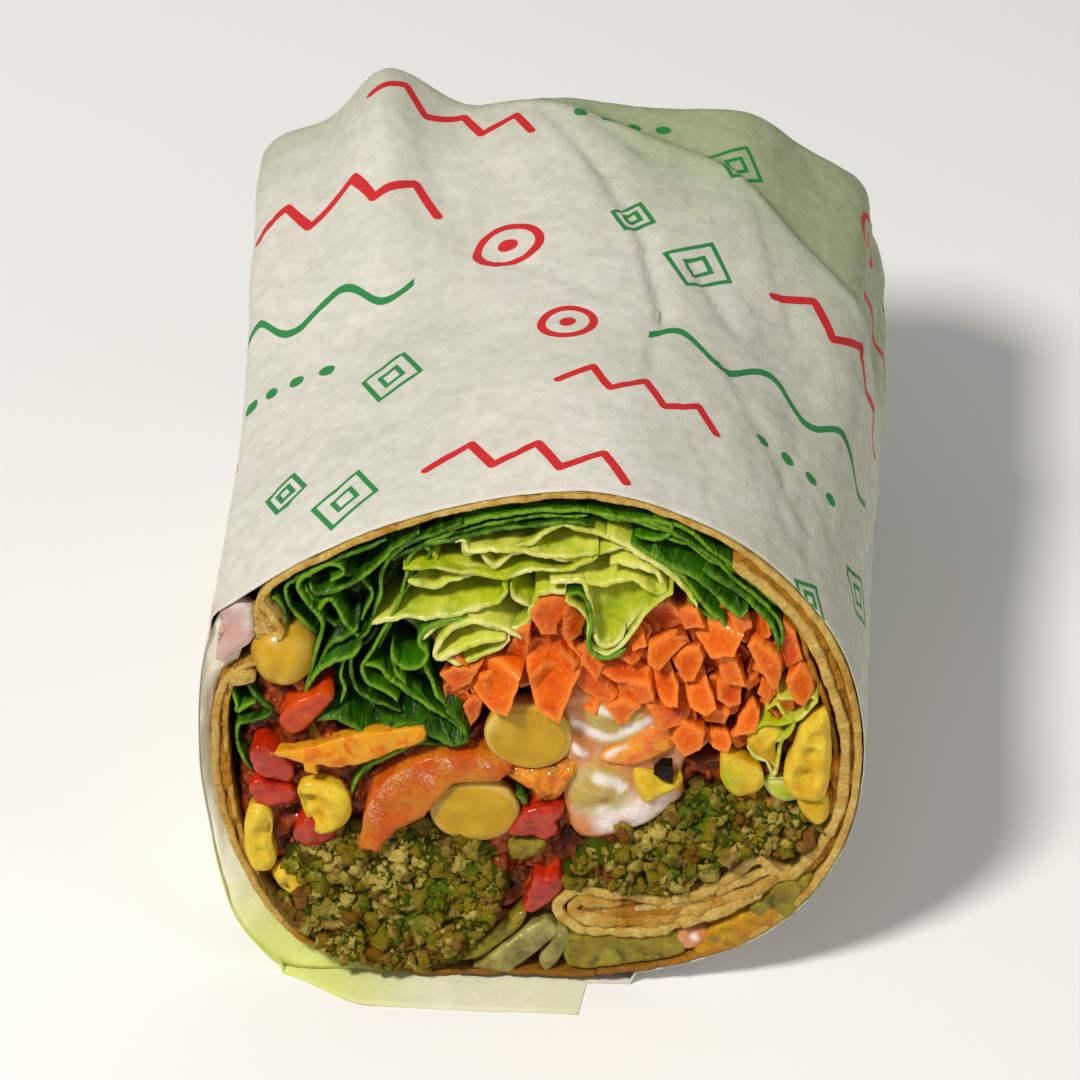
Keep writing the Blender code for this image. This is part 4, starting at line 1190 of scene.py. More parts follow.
# Pale lettuce, in the same way.
LETTUCE = (
    ((0.3, 90, 0.0, 0.0), (-11, 65), (-10, 65.5), (-9.5, 63.5), (-7.5, 64.5), (-5, 64.5), (-2.5, 65),
     (-1, 65.5), (0.5, 67), (2.5, 68), (4.5, 67.5), (7, 67), (9.5, 66), (12.5, 64), (15.5, 62.5),
     (17, 60.5)),
    ((-0.4, 10, 0.0, 0.1), (-10, 65.5), (-9.5, 64), (-7, 64.5), (-3.5, 64.5), (0, 64), (3, 64), (5.5, 64.5),
     (7, 65)),
    ((0.2, 14, 0.0, 0.25), (-7.5, 63.5), (-6, 61.5), (-4, 63.5), (-1.5, 64), (0.5, 63.5), (3.5, 63),
     (6.5, 64), (9.5, 65), (11.5, 64.5)),
    ((-0.4, 90, 0.0, 0.0), (-17.5, 61), (-15, 61.5), (-12, 61.5), (-8.5, 61), (-6, 60.5), (-4, 60.5),
     (-2, 61.5), (0.5, 62), (3, 62), (5, 63), (7, 64)),
    ((0.6, 16, 0.0, 0.3), (-17, 59), (-13.5, 58), (-12, 59), (-8.5, 60), (-5, 60)),
    ((-0.2, 18, 0.0, 0.3), (-21.5, 53), (-17, 54), (-15, 54), (-11.5, 54.5), (-8.5, 55.5), (-6, 56.5),
     (-4.5, 58.5), (-5, 59.5)),
    ((-0.6, 14, 0.0, 0.25), (1, 60), (3, 60.5), (5, 60.5), (7.5, 60), (9, 60.5), (11.5, 61), (13, 60),
     (14.5, 59), (15.5, 59.5), (14.5, 62), (12.5, 63), (9.5, 63.5), (8.5, 63)),
    ((0.0, 16, 0.0, 0.3), (-15, 51), (-13, 53), (-9, 54), (-6.5, 53), (-4, 53), (-2.5, 53.5), (-1.5, 54.5),
     (-1.5, 56), (-0.5, 56.5), (-0.5, 58), (3, 58.5), (3, 59.5)),
    ((-0.2, 14, 0.0, 0.2), (-4, 59.5), (-3.5, 57.5), (-2, 56.5), (-1.5, 56)),
    ((-0.8, 12, 0.0, 0.3), (-2.5, 52), (-5.5, 53.5), (-9, 54), (-11.5, 53), (-13, 50.5), (-13.5, 49),
     (-12.5, 48.5), (-10, 50), (-6.5, 51.5), (-4.5, 52)),
    ((-0.2, 10, 0.0, 0.4), (-12.5, 48.5), (-10.5, 47.5), (-8, 48.5), (-5.5, 50), (-4, 51.5)),
    ((-0.9, 12, 0.0, 0.2), (3, 60), (5, 60.5), (6, 58), (6.5, 55.5), (7, 53), (8, 51.5), (9.5, 52),
     (10.5, 54)),
    ((-0.3, 12, 0.0, 0.3), (8, 67), (12.5, 64.4), (16, 61.6), (18, 59.6), (19.6, 57.4)),
    ((1.0, 14, 0.0, 0.2), (-15.5, 64.5), (-13.5, 62), (-15, 61), (-12, 61.5), (-9, 61), (-5.5, 60.5)),
    ((1.2, 14, 0.0, 0.3), (-15, 53), (-12, 54), (-9, 54.5), (-5.5, 53.5)),
)
POUCH = (
    (-1.0, 12, 0.0, 0.25), (3, 58), (4.5, 57), (5.5, 56), (6, 54.5), (6, 52), (7, 50.5), (9, 50.5),
    (10.5, 52), (12, 54.5), (13, 56.5), (15, 58.5), (16.5, 59.5),
)
POUCH_FACE = (
    (5.4, 60), (5.8, 56.4), (6, 53.4), (7.2, 51.2), (8.8, 51.1), (10.6, 53), (12.6, 55.8), (14.6, 57.6),
    (16.4, 59.6), (11, 61.4),
)
GREEN_LOBE = (
    (-0.4, 12, 0.0, 0.3), (-19, 48.5), (-18, 47), (-16, 46.5), (-15, 47.5), (-14.5, 49), (-15.5, 50.5),
    (-15, 52), (-13.5, 53), (-11, 54), (-9, 54.5),
)
LETTUCE_RIGHT = (
    ((0.2, 30, 0.0, 0.3), (26.5, 36.5), (27.5, 35), (29, 34.5), (30, 32.5), (30.5, 36), (31, 38),
     (32.5, 41)),
    ((-0.4, 12, 0.0, 0.2), (26.5, 38.5), (28.5, 40.5), (30.5, 40.5), (32.5, 41), (31.5, 38.5), (29, 37.5)),
    ((-0.4, 10, 0.0, 0.2), (28.5, 42.5), (30, 43.5), (31, 42), (32.5, 41), (34.5, 43.5), (35, 44.5),
     (32.5, 44.5), (30, 44.5)),
)
# The dark space behind the leaves, and the other fillings that run through.
LEAVES_BACK = (
    (-33.8, 53.8), (-24, 61.6), (-13, 65.4), (-7.6, 67.8), (2.4, 69.4), (12.7, 68.4), (22, 63), (29.5, 55.8),
    (34, 48.4), (32, 49), (29.4, 54.2), (26.8, 54.6), (24.2, 53), (21.4, 58), (17.8, 61.6), (12.8, 64.8),
    (0, 66), (-9.6, 64), (-16.4, 60.6), (-20.6, 52), (-17.6, 47.8), (-13.4, 45.4), (-9.6, 38), (-11.6, 34.2),
    (-19, 35.4), (-27.4, 38.8), (-29, 43.2), (-28.4, 49.6), (-32.2, 51.6),
)
LETTUCE_BACK = (
    (-15.5, 61), (-10.2, 64.4), (-1.5, 66.2), (6.7, 66), (12.5, 64), (17.2, 60.4), (19.6, 57.8), (15.6, 55),
    (12.5, 51.6), (9.4, 48.8), (7.2, 51.4), (6, 57), (-1.2, 57.9), (-4.6, 52.6), (-8.8, 47.9), (-13, 46.8),
    (-17, 49), (-19.6, 52), (-17, 57),
)
CARROTS = (
    (-12.4, 43.6), (-5.4, 50.4), (-0.8, 57.2), (6, 57.4), (17, 57.4), (25, 56.8), (31.4, 52), (35.2, 44.5),
    (34, 41), (30.2, 39), (24.5, 34.6), (19.5, 33.6), (15, 38), (9, 40), (2, 41), (-4.9, 40.6), (-8.6, 38),
)
SALSA = (
    (-38.4, 31), (-36.8, 41), (-35, 47), (-33, 50), (-30, 50), (-28.4, 37.8), (-20, 34.6), (-11.4, 33.4),
    (-8, 37), (-4.4, 40), (2, 40.4), (9, 39.4), (14.6, 37.2), (19.4, 32.8), (25, 35), (32, 41), (38, 42),
    (39, 34), (38.4, 28), (34, 24), (26, 19.5), (13, 15), (6, 14), (3, 12.6), (1.4, 11), (3, 8.8), (14, 7.8),
    (26, 11), (31, 16.4), (33.6, 16), (31, 10), (20, 4.6), (4, 2.4), (-12, 1.8), (-24, 2.6), (-31, 7),
    (-36, 14), (-38.6, 22),
)
FALAFEL_LEFT = (
    (-31.8, 18), (-27, 20.6), (-22, 23), (-17.5, 23.4), (-9, 22), (-4.8, 17.5), (-4.6, 11.5), (-7.6, 5),
    (-11, 1.4), (-17, 0.8), (-25, 1.8), (-31, 6), (-34, 12.6),
)
FALAFEL_RIGHT = (
    (3.6, 14.6), (6.4, 20.5), (10, 21), (14, 24.5), (17.5, 27.5), (20, 30), (23.5, 29.8), (29, 28.6),
    (33.5, 27.5), (37, 25.5), (35.4, 22), (31, 19.6), (26, 19), (21, 16), (16, 13.8), (10, 14),
)
SAUCE_POOL = (
    (4.6, 22), (3.2, 26), (3, 31), (2.8, 37), (3, 42), (3.4, 45), (6, 44.6), (9, 43.6), (14, 42.8),
    (17.4, 40), (18.8, 36), (18, 31), (18.6, 28.6), (16.8, 26.2), (14, 23.8), (10, 21.8), (7, 21),
)
# Where the sauce swells over what lies under it: (u, w, width, depth).
SAUCE_SWELLS = (
    (8.2, 30.2, 2.8, -1.7), (7.8, 40.4, 1.8, -1.0), (12.8, 26.2, 2.6, -0.9), (12.8, 40.6, 1.3, -0.6),
    (9, 34.4, 1.2, 0.5), (5, 38.4, 1.0, 0.4), (4.8, 43, 1.2, -0.5), (4.9, 35, 1.1, -0.7),
)
# Where it is thick and white: (u, w, width), and streaks as a width and then a path.
SAUCE_WHITE = ((12.8, 25.6, 3.8), (9.2, 24.6, 2.8), (16.4, 27.2, 2.4))
SAUCE_STREAKS = (
    (0.8, (4.6, 38.6), (7, 37.6), (9, 37), (11.2, 38.2), (13.6, 40)),
    (0.6, (6.6, 42), (8.2, 41.4), (9.6, 40.6)), (0.9, (7.4, 31.6), (9.4, 31.2), (10.6, 30.2)),
    (0.7, (4.4, 35.6), (5.6, 34.6)),
)
TOMATO = (
    (7.4, 33.8), (8.8, 35.4), (11, 36.6), (13, 38.4), (14.8, 39.2), (16.4, 37.8), (17.2, 36), (15.4, 34.5),
    (13, 33.2), (10, 32.8),
)
PINK_BIT = ((17.6, 6.8), (19.4, 7.8), (22.4, 7.4), (21.4, 5.2), (19, 4.6))
MUSH = (
    (-4.4, 31.2), (-1, 32), (1.6, 32.2), (4, 33.6), (5, 31.6), (3.4, 29.4), (2.4, 27.6), (0.6, 27),
    (-1.2, 28.6), (-3, 29.8),
)
OLIVE = ((14.6, 33.1), (15.6, 34.2), (16.9, 34.3), (17.1, 33), (17.1, 31.8), (16, 32.1))
PICKLE = ((3.5, 6.2), (5.5, 6.6), (12.5, 7), (18.2, 7.4), (19, 4), (13, 2.1), (4.5, 1.1))
PICKLE_END = ((27.5, 11.6), (29.4, 14), (31, 16.2), (33, 17.2), (35.6, 17), (35, 13), (32.6, 10), (29.5, 9))
DARK_PICKLE = (
    (-11, 1.8), (-9.5, 3.4), (-7.5, 5), (-5.5, 7), (-3.5, 9), (-1.5, 9.5), (-2.5, 7), (-5, 4.5), (-7, 2.6),
    (-8.5, 1.8),
)
YELLOW_PEPPER = (
    (20.4, 4.4), (22, 7.6), (25, 9.8), (27.6, 11), (30.5, 12.6), (32.6, 12.8), (31.4, 9), (27, 5.6), (23, 4),
)
CARROT_SLAB = (
    (-23.2, 20.6), (-22.6, 25.5), (-21.5, 28.6), (-19.5, 30.8), (-17, 32.4), (-13, 33.8), (-9, 34.2),
    (-5.6, 33.6), (-3.6, 32), (-5, 30.4), (-11, 30), (-13, 27.6), (-14.8, 25.2), (-17.5, 23.8), (-19.5, 22),
    (-20.5, 20),
)
# Its pale skin, strong along its upper edge as a painted highlight: (u, w, width).
SLAB_SKIN = (
    (-22, 27, 2.2), (-20.6, 30, 2.2), (-18, 31.8, 2.2), (-14.4, 31, 1.2), (-12, 33, 1.4), (-7, 33.4, 1.4),
)
CARROT_STRIP = (
    (-34.6, 34), (-32, 34.4), (-28.5, 35.4), (-23.5, 37.2), (-19, 38), (-15, 38.6), (-15, 36.6), (-19, 34.8),
    (-22, 33.2), (-26, 32.2), (-28.6, 32.4), (-28.4, 31), (-30, 31.4), (-30.4, 32.6), (-32.4, 33.2),
)
ONIONS = (
    ((-8.4, 0.8), (-7, 2), (-6, 3), (-4, 5), (-2.5, 6.4), (-1.2, 7.6), (0, 8.4), (1.2, 8.8), (2.4, 7.8),
     (2.5, 6.5), (1, 5), (0.2, 4), (-1, 2.8), (-2.5, 1.4), (-3.6, 0.2)),
    ((2.5, 7.5), (3.9, 7), (4.1, 5.5), (3.6, 4), (2.7, 2.2), (1.9, 0.8), (1, 0.2), (0.4, 1.2), (0.2, 2.4),
     (0.7, 3.6), (1.6, 5)),
)
# The tortilla's inner end: down the right side, along the bottom and back in a flat roll.
BREAD_INNER = (
    (24, 63.5), (31, 57.4), (34.4, 52), (36.8, 46), (38.7, 40), (39, 34), (38.7, 28), (37.4, 24.2),
    (35.4, 20.4), (33.8, 18.3), (32, 17.1), (30.5, 17.6), (29, 19.4), (27.5, 19), (26, 17.5), (23.5, 15.5),
    (21, 14), (17, 12.7), (14.5, 12.8), (11, 13.2), (7.5, 13.5), (4.5, 13.4), (2.9, 12), (2.6, 10.5),
    (3.8, 8.9), (5.8, 7.6), (9, 7.5), (13, 7.6), (16, 8.1), (18.5, 9.1), (21.5, 10.2), (24.5, 11.6),
    (27, 13), (29, 14.6),
)
BREAD_FOLDS = (
    ((0.0, 90, 0, 0), (31, 17.2), (30.4, 16.2), (28.5, 15), (26, 13.6), (22.5, 12.2), (19.5, 10.8),
     (17, 9.8), (13.5, 9), (9.5, 9), (6.6, 9.2), (4.8, 10), (4.5, 11.1), (5.4, 12), (7.5, 12), (11, 11.8)),
    ((0.2, 60, 0, 0), (30, 18.2), (28.6, 17), (26, 15.8), (24, 14.7), (21, 13.2), (17.5, 12), (15, 11.5),
     (12.6, 11)),
    ((0.3, 60, 0, 0), (5.8, 10.8), (7, 10.5), (9.5, 10.2), (12.5, 10.2), (16, 10.6), (19, 11.8),
     (22.5, 13.4), (25.5, 14.9)),
)
TONGUE_FILL = (
    (4, 11.6), (8, 12.8), (14, 12.2), (20, 13.8), (26, 17), (30.5, 17.6), (28, 14.4), (22, 11), (16, 9),
    (9, 8.2), (5, 9),
)
BREAD_RIGHT = (
    (0.7, 40, -0.04, 0), (25.5, 62), (30, 57.8), (32.6, 54), (33.6, 50), (35.4, 45.5), (36.5, 42),
    (37.7, 36.5), (37.9, 32), (37.9, 27),
)
BREAD_LEFT = ((0.3, 40, 0, 0), (-38.8, 46), (-40.2, 40), (-40.4, 34), (-40, 28), (-39, 22), (-36.4, 14))
# Soaked bread between the outer wall and the inner layer: (front, depth), then the path.
BREAD_FILLS = (
    ((0.6, 60, 0, 0), (24, 64.6), (30, 59.4), (33.6, 55), (36, 50), (38.2, 44), (39.2, 38), (39.4, 32),
     (38.8, 26.4), (37, 21.4), (34.6, 17.6)),
    ((0.6, 60, 0, 0), (-40.4, 47), (-41.2, 41), (-41.2, 34), (-40.6, 28), (-39.4, 21), (-37, 14)),
)
TORN_BREAD = (
    ((-0.9, 8, 0.1, 0.2), (-39.4, 56.8), (-37.8, 57), (-36, 56.2), (-34.4, 54.2), (-33, 51.8),
     (-33.4, 50.4)),
)
TORN_FLAP = (
    (-36.8, 54.8), (-35.6, 54.8), (-34.6, 53.4), (-33.6, 51.4), (-34.6, 50.4), (-36.4, 49.8), (-36.6, 52),
)
NIB = ((-39.8, 44.4), (-38, 45), (-36.8, 45.1), (-36.4, 44.3), (-37.2, 43.7), (-39.4, 43.4))

# Small pieces: middle (u, d, w), half sizes (u, d, w), tilt in the face in degrees.
CUT_CHICKPEAS = {
    "chickpea_upper": ((-1.5, 0, 36.8), (5.8, 6.5, 4.9), 8),
    "chickpea_lower": ((-8.3, 0, 25.1), (5.9, 6.5, 4.6), -4),
}
CHICKPEAS = {
    "chickpea_whole": ((-32.9, 2.2, 47.2), (4.3, 4.6, 4.4), 20),
    "chickpea_back": ((-27.6, 6.2, 32.6), (4.4, 5.2, 3.9), 0),
    "chickpea_sauced": ((8.6, 5.4, 28.6), (4.4, 5.2, 4.2), 0),
}
# Kernels and dice: how near and how far they reach, hollows in the front (u, w, width, depth), the outline.
KERNELS = {
    "corn_1": (-0.6, 6, ((-35.6, 21.4, 1.3, 1.6), (-36, 18.6, 0.9, 0.9)), (-37.6, 16), (-38.2, 20),
        (-37.6, 24.6), (-35.6, 25.4), (-34.4, 23), (-34.6, 20), (-34, 17), (-35.2, 15.2)),
    "corn_2": (-0.9, 6.5, ((-29.4, 26.2, 1.5, 2.2), (-28.6, 24.2, 0.9, 1.3)), (-31, 28.5), (-28, 29.2),
        (-25.5, 28.5), (-24.3, 26.5), (-24.4, 24), (-26, 22.2), (-28.5, 21.5), (-29.7, 23.5), (-30.7, 26)),
    "corn_3": (0.0, 7, ((-32.6, 13.4, 0.8, 0.5),), (-34.6, 14.6), (-33.4, 16), (-31.4, 15), (-29.4, 12.6),
        (-29.6, 11), (-31.4, 10.9), (-33.6, 12.4)),
    "corn_4": (-1.2, 7, ((35, 39.6, 0.9, 1.0), (34.6, 37, 1.1, 1.5), (34.1, 33.6, 1.3, 1.5)), (36.6, 42.6),
        (35, 42.4), (33, 40), (32, 36.4), (31.2, 33), (32.2, 30.4), (34.4, 29.6), (36.6, 30.4), (37.2, 36)),
    "corn_5": (-0.6, 6, (), (23, 34.2), (23.4, 35.8), (26, 35), (28.4, 33.2), (28.7, 31.4), (27.6, 30),
        (25, 29.5), (23.4, 31.5)),
    "corn_6": (-0.4, 6, (), (33, 30), (35, 29.7), (37, 29.6), (37.1, 26.6), (35.6, 25.4), (33.6, 27.4)),
    "corn_7": (-0.5, 6, (), (12, 32.6), (14, 32.6), (16, 31.9), (18, 32.4), (18.2, 30.6), (16, 29),
        (13.6, 27.9), (12.4, 29.6)),
}
CORN_PULP = (
    (26.4, 37), (27, 39), (28.5, 40.4), (30, 40), (31, 38.5), (30, 36.5), (30.5, 33), (29, 34.5),
    (27.5, 35.4),
)
AMBER_BITS = (
    ((37, 34.5), (38.4, 35), (38.7, 33), (38.4, 30), (37.4, 30.5)),
    ((36.6, 29), (37.6, 30), (38.2, 28), (37.4, 26)),
    ((24.8, 29.6), (27, 29.8), (29.6, 28.4), (31.6, 28.8), (31, 27), (28, 26.6), (25.6, 27.6)),
)
CRUST_BITS = (
    ((9.8, 23.4), (10.4, 24.7), (11.6, 24.2), (12.1, 22.6), (11, 21.8)),
    ((16.4, 26.6), (17.1, 27.3), (18.2, 26.1), (17.5, 24.8)),
)
HERB = ((-3, 28.5), (-2.1, 28.2), (-1.5, 27.2), (-2.1, 27), (-2.5, 27.6))
GREEN_BIT = ((28.5, 31), (31, 31.6), (33, 30.4), (33.4, 28.6), (30.5, 28.2))
DICE = {
    "pepper_red_1": (-0.7, 8, (), (-37, 34.4), (-35.5, 35), (-33.5, 33.6), (-32, 31.5), (-31.6, 29.5),
        (-32.5, 28.3), (-34, 28.7), (-36, 29.8), (-37, 32)),
    "pepper_red_2": (-0.2, 8, (), (-37.4, 28.5), (-36, 29.3), (-34.5, 28.5), (-32, 27.7), (-31.3, 26.4),
        (-32.5, 25), (-36, 24.6), (-37, 26.4)),
    "pepper_red_3": (-0.4, 8, (), (-31.8, 21.2), (-30.2, 23.6), (-27.4, 22.8), (-26.2, 20.8), (-28.8, 18.8),
        (-31, 19.4)),
    "pepper_red_4": (-0.2, 8, (), (-3.8, 22), (-2.5, 25), (-1.5, 26.4), (1, 26.8), (3.2, 26.4), (2.5, 24),
        (2.4, 22), (1, 20.8), (-1, 21.6)),
    "pepper_red_5": (-0.3, 8, (), (-1.6, 12), (-1, 15), (-0.5, 16.4), (1, 15.6), (2.4, 16.3), (3.2, 14.8),
        (2.5, 13), (1, 11), (-1, 9.4), (-2, 10.6)),
    "pepper_orange": (-1.0, 9, (), (-33.4, 38.3), (-33, 40), (-32, 41.4), (-30, 42.4), (-27.6, 43.3),
        (-26.6, 42), (-28, 39.6), (-29, 38.3), (-30, 37.2), (-32, 36.3)),
    "pickle_bit": (1.0, 8, (), (-4, 19.4), (-3.5, 20.6), (0, 20.7), (0.8, 20), (0.6, 18), (-2, 16.8),
        (-3.6, 17.4)),
}
# Ends of the shredded carrot that lie in front: how near, how lit each is painted, then the outline.
CARROT_ENDS = (
    (0.0, 0.6, (-1.5, 55.5), (-0.5, 57.5), (3, 57.5), (3, 55), (2, 53.5), (2, 52), (0, 52.5)),
    (0.4, 0.3, (3, 57.5), (5.5, 56.5), (5.5, 53.5), (5, 52), (3.5, 51.5), (2.5, 53)),
    (0.5, 0.2, (-3, 53), (-1.5, 54), (-1.5, 51), (-2, 47), (-5, 47.5)),
    (-0.3, 0.7, (-2, 47.5), (-1.5, 52), (2, 52), (3.5, 51), (5.5, 48.5), (4.5, 46.5), (2.5, 42), (-0.5, 43)),
    (-0.8, 0.8, (-9, 43.5), (-7, 48), (-5, 48), (-2.5, 47), (-4, 42), (-6, 41.5)),
    (0.2, 0.5, (-13, 45), (-11.2, 46.8), (-8.5, 47.2), (-7.5, 48), (-9, 44.5), (-11, 42.8)),
    (0.0, 0.35, (4.5, 46.5), (5.5, 48.5), (7.5, 46.5), (9.5, 43.5), (8.5, 42), (7, 43), (4.5, 45)),
    (0.6, 0.3, (3.5, 51), (6.5, 50), (9.5, 50), (14, 47), (13.5, 46), (9.5, 46), (6.5, 48)),
    (0.6, 0.2, (9, 50), (12, 53.5), (13.5, 51), (12.5, 49), (11.5, 48.5)),
    (0.0, 0.7, (13.5, 51.5), (17, 52.5), (18.5, 51), (17, 50), (15, 48.5), (13.5, 49.5)),
    (-0.4, 0.75, (9.5, 46), (14, 46.5), (14.5, 44), (12.5, 42.5), (10, 43)),
    (0.1, 0.5, (14, 48), (16, 49), (17.5, 46), (17.5, 44), (16, 43.5), (14, 45)),
    (0.2, 0.55, (16.5, 49), (18, 50.5), (20, 51), (20.5, 49.5), (19.5, 46.5), (18, 46)),
    (0.0, 0.6, (13.5, 43), (18.5, 44), (19.5, 42), (18.5, 40), (15.5, 40)),
    (-0.8, 0.95, (16.5, 38), (18, 40.5), (19.5, 40), (21, 39), (20.7, 37), (18.5, 35.5)),
    (1.6, 0.05, (12.5, 55.5), (16, 57.5), (18.5, 54), (15.5, 52), (13.5, 53)),
    (0.2, 0.6, (8, 42.5), (9.5, 43.5), (12, 42.5), (11, 39.5), (10, 39)),
    (-0.5, 0.85, (19.5, 52.5), (21, 54.5), (23, 54.5), (25.5, 54), (24.5, 51.5), (21.5, 50.5)),
    (-0.6, 0.9, (22.5, 50), (24.5, 50.5), (25.5, 48), (26, 46.5), (23.5, 46), (22.5, 47.5)),
    (-0.6, 0.9, (26, 52), (27, 53), (30, 50.5), (30.5, 48.5), (30, 46), (29.5, 46), (27.5, 49)),
    (0.8, 0.3, (25.5, 46), (27.5, 47), (28, 45.5), (26.5, 44.5)),
    (0.3, 0.5, (28, 46.5), (29, 46), (30, 44.5), (29, 43.5), (27.5, 45)),
    (-0.5, 0.9, (31, 47.5), (33, 49), (34.5, 47), (34.5, 45), (33.5, 44), (32, 45)),
    (0.9, 0.2, (30.5, 55), (32, 53.6), (33.2, 49.5), (31, 47.5), (30, 50.5)),
    (-0.4, 0.85, (18.5, 44.5), (20.5, 47.5), (22.5, 43.5), (21, 42.5), (19, 43)),
    (0.4, 0.35, (22.5, 46), (25.5, 45.5), (25.5, 43), (24, 42.5), (22.5, 43.5)),
    (0.2, 0.6, (19.5, 41.5), (21.5, 42.5), (24, 42), (23.5, 40), (21, 39.5)),
    (0.0, 0.6, (25.5, 41), (27, 43.5), (28, 42), (27.5, 39.5), (24.5, 38)),
    (0.3, 0.7, (21, 37.5), (23.5, 39), (24.5, 37.5), (24, 36), (22, 36)),
    (0.9, 0.2, (-10, 40.5), (-9, 42), (-7.5, 41.5), (-8, 39), (-9, 37.5)),
    (-0.6, 0.7, (8.2, 42.4), (10, 39.2), (11, 40.4), (12.7, 42.4), (10.5, 43.5)),
    (0.3, 0.5, (10, 52.6), (12.6, 53.4), (13.4, 51.6), (11.6, 50.4)),
    (0.6, 0.3, (16.6, 56), (19.6, 56.4), (20.6, 54.4), (18, 53.4)),
    (0.5, 0.6, (30, 44), (32, 43.8), (32.4, 41.8), (30.4, 41.2)),
    (0.6, 0.5, (5, 44.8), (7.6, 43), (7, 41.2), (4.4, 42)),
    (-0.9, 0.95, (-1.4, 47.2), (0.2, 48.8), (2.2, 48), (1.6, 45.4), (0.2, 43.6), (-0.8, 44.6)),
    (-0.7, 0.3, (2.2, 50.8), (4.6, 49), (4, 46.4), (2.4, 47.6)),
    (-0.6, 0.8, (-7.8, 46), (-6, 46.8), (-5, 44.6), (-6.6, 43.2)),
    (0.1, 0.9, (23.6, 56), (26, 55.8), (26.6, 54.2), (24.6, 53.6)),
    (0.2, 0.2, (-12.6, 47.4), (-10.6, 48.8), (-9.2, 47.6)),
    (-0.2, 0.1, (5.4, 50.6), (8.2, 48.2), (7, 46.8), (5, 48.6)),
    (-0.3, 0.85, (27.6, 50), (29.4, 49.4), (28.8, 47.2), (27, 48)),
)


# ---- Pieces ----


def settings_of(context):
    """The colours and sizes to build with."""
    return context.scene.falafel_wrap.colours, context.scene.falafel_wrap.sizes


def add_sheets(heap, entries, thick, first=0, wave=0.5, **more):
    """Adds leaves or layers, each by its own front, depth and rise."""
    for k, ((front, deep, *rise), *path) in enumerate(entries):
        tone = (0.37 + 0.618 * (k + first)) % 1
        sheet(heap, path, thick, front, deep, tone, wave, rise, seed=first + k, **more)


def lone(name, finish, slot, nodes, *shape, **worked):
    """Makes a piece of a single chunk, in the place of the nodes that it stands for."""
    heap = Heap()
    chunk(heap, *shape, **worked)
    settle(heap.item(name, finish), slot, *nodes)


def tilted(middle, a, b, degrees):
    """The place at a and b from a middle on the face, along tilted axes."""
    turn = math.radians(degrees)
    u = middle[0] + a * math.cos(turn) + b * math.sin(turn)
    return u, middle[1] - a * math.sin(turn) + b * math.cos(turn)


def oval(middle, half, tilt):
    """The outline of an ellipse round a middle on the face."""
    angles = [2 * math.pi * k / 10 for k in range(10)]
    return [tilted(middle, math.cos(angle) * half[0], math.sin(angle) * half[1], tilt) for angle in angles]


def ball(heap, middle, half, tilt, seed):
    """A whole chickpea: a worked ball with a crease down its front."""
    bm = bmesh.new()
    bmesh.ops.create_icosphere(bm, subdivisions=4, radius=1)
    bm.verts.index_update()
    spots, marks = [], []
    for v in bm.verts:
        x, y, z = v.co
        dip = 1 - 0.14 * math.exp(-((x / 0.18) ** 2)) * max(0.0, -y)
        unit = Vector((x * (1 + 0.08 * z), y * dip, z))
        unit *= 1 + 0.035 * wobble(*(v.co * 1.6), seed=seed) + 0.012 * wobble(*(v.co * 6), seed=seed)
        u, w = tilted((middle[0], middle[2]), unit.x * half[0], unit.z * half[2], tilt)
        spots.append((u, middle[1] + unit.y * half[1], w))
        marks.append((0.0, max(0.0, -y), 0.5, u, w))
    faces = [[v.index for v in f.verts] for f in bm.faces]
    bm.free()
    heap.add(spots, faces, marks)


class WRAP_OT_tortilla(bpy.types.Operator):
    """Rolls the tortilla round the fillings, with its inner end in a flat roll"""

    bl_idname = "falafel_wrap.tortilla"
    bl_label = "Tortilla"

    def execute(self, context):
        colours, sizes = settings_of(context)
        heap = Heap()
        bread_wall(heap)
        thick = sizes.bread / MM
        sheet(heap, BREAD_INNER, thick * 1.1, -0.1, 90, 0.15, 0.25, seed=40, ragged=0.5, margin=1.3)
        add_sheets(heap, BREAD_FOLDS, thick * 1.25, 44, 0.2, ragged=0.5, margin=1.3)
        add_sheets(heap, (BREAD_RIGHT, BREAD_LEFT), thick * 0.55, 41, 0.4, ragged=0.8, margin=1.3, stain=0.4)
        add_sheets(heap, BREAD_FILLS, thick * 1.5, 47, 0.3, ragged=0.8, margin=0.9, stain=0.9)
        chunk(heap, TONGUE_FILL, 0.9, 60, 0.4, (0.0, 1.0), ((0.2, 1.4),), tone=0.5, seed=49)
        add_sheets(heap, TORN_BREAD, thick * 0.7, 55, 0.2, ragged=0.5, margin=0.8)
        for k, (outline, near) in enumerate(((TORN_FLAP, 0.2), (NIB, -0.8))):
            chunk(heap, outline, near, near + 3, 0.15, (0.1, 0.5), ((0.12, 1.4),), tone=0.0, seed=57 + k,
                  step=0.35, ragged=0.2, margin=0.8)
        settle(heap.item("tortilla_finished", bread_finish(colours)), "tortilla", "tortilla")
        return {"FINISHED"}


BREAD_END = 9.0  # radius of the closed end's edge
END_HEART = Vector((0, 34))  # the middle of the closed end


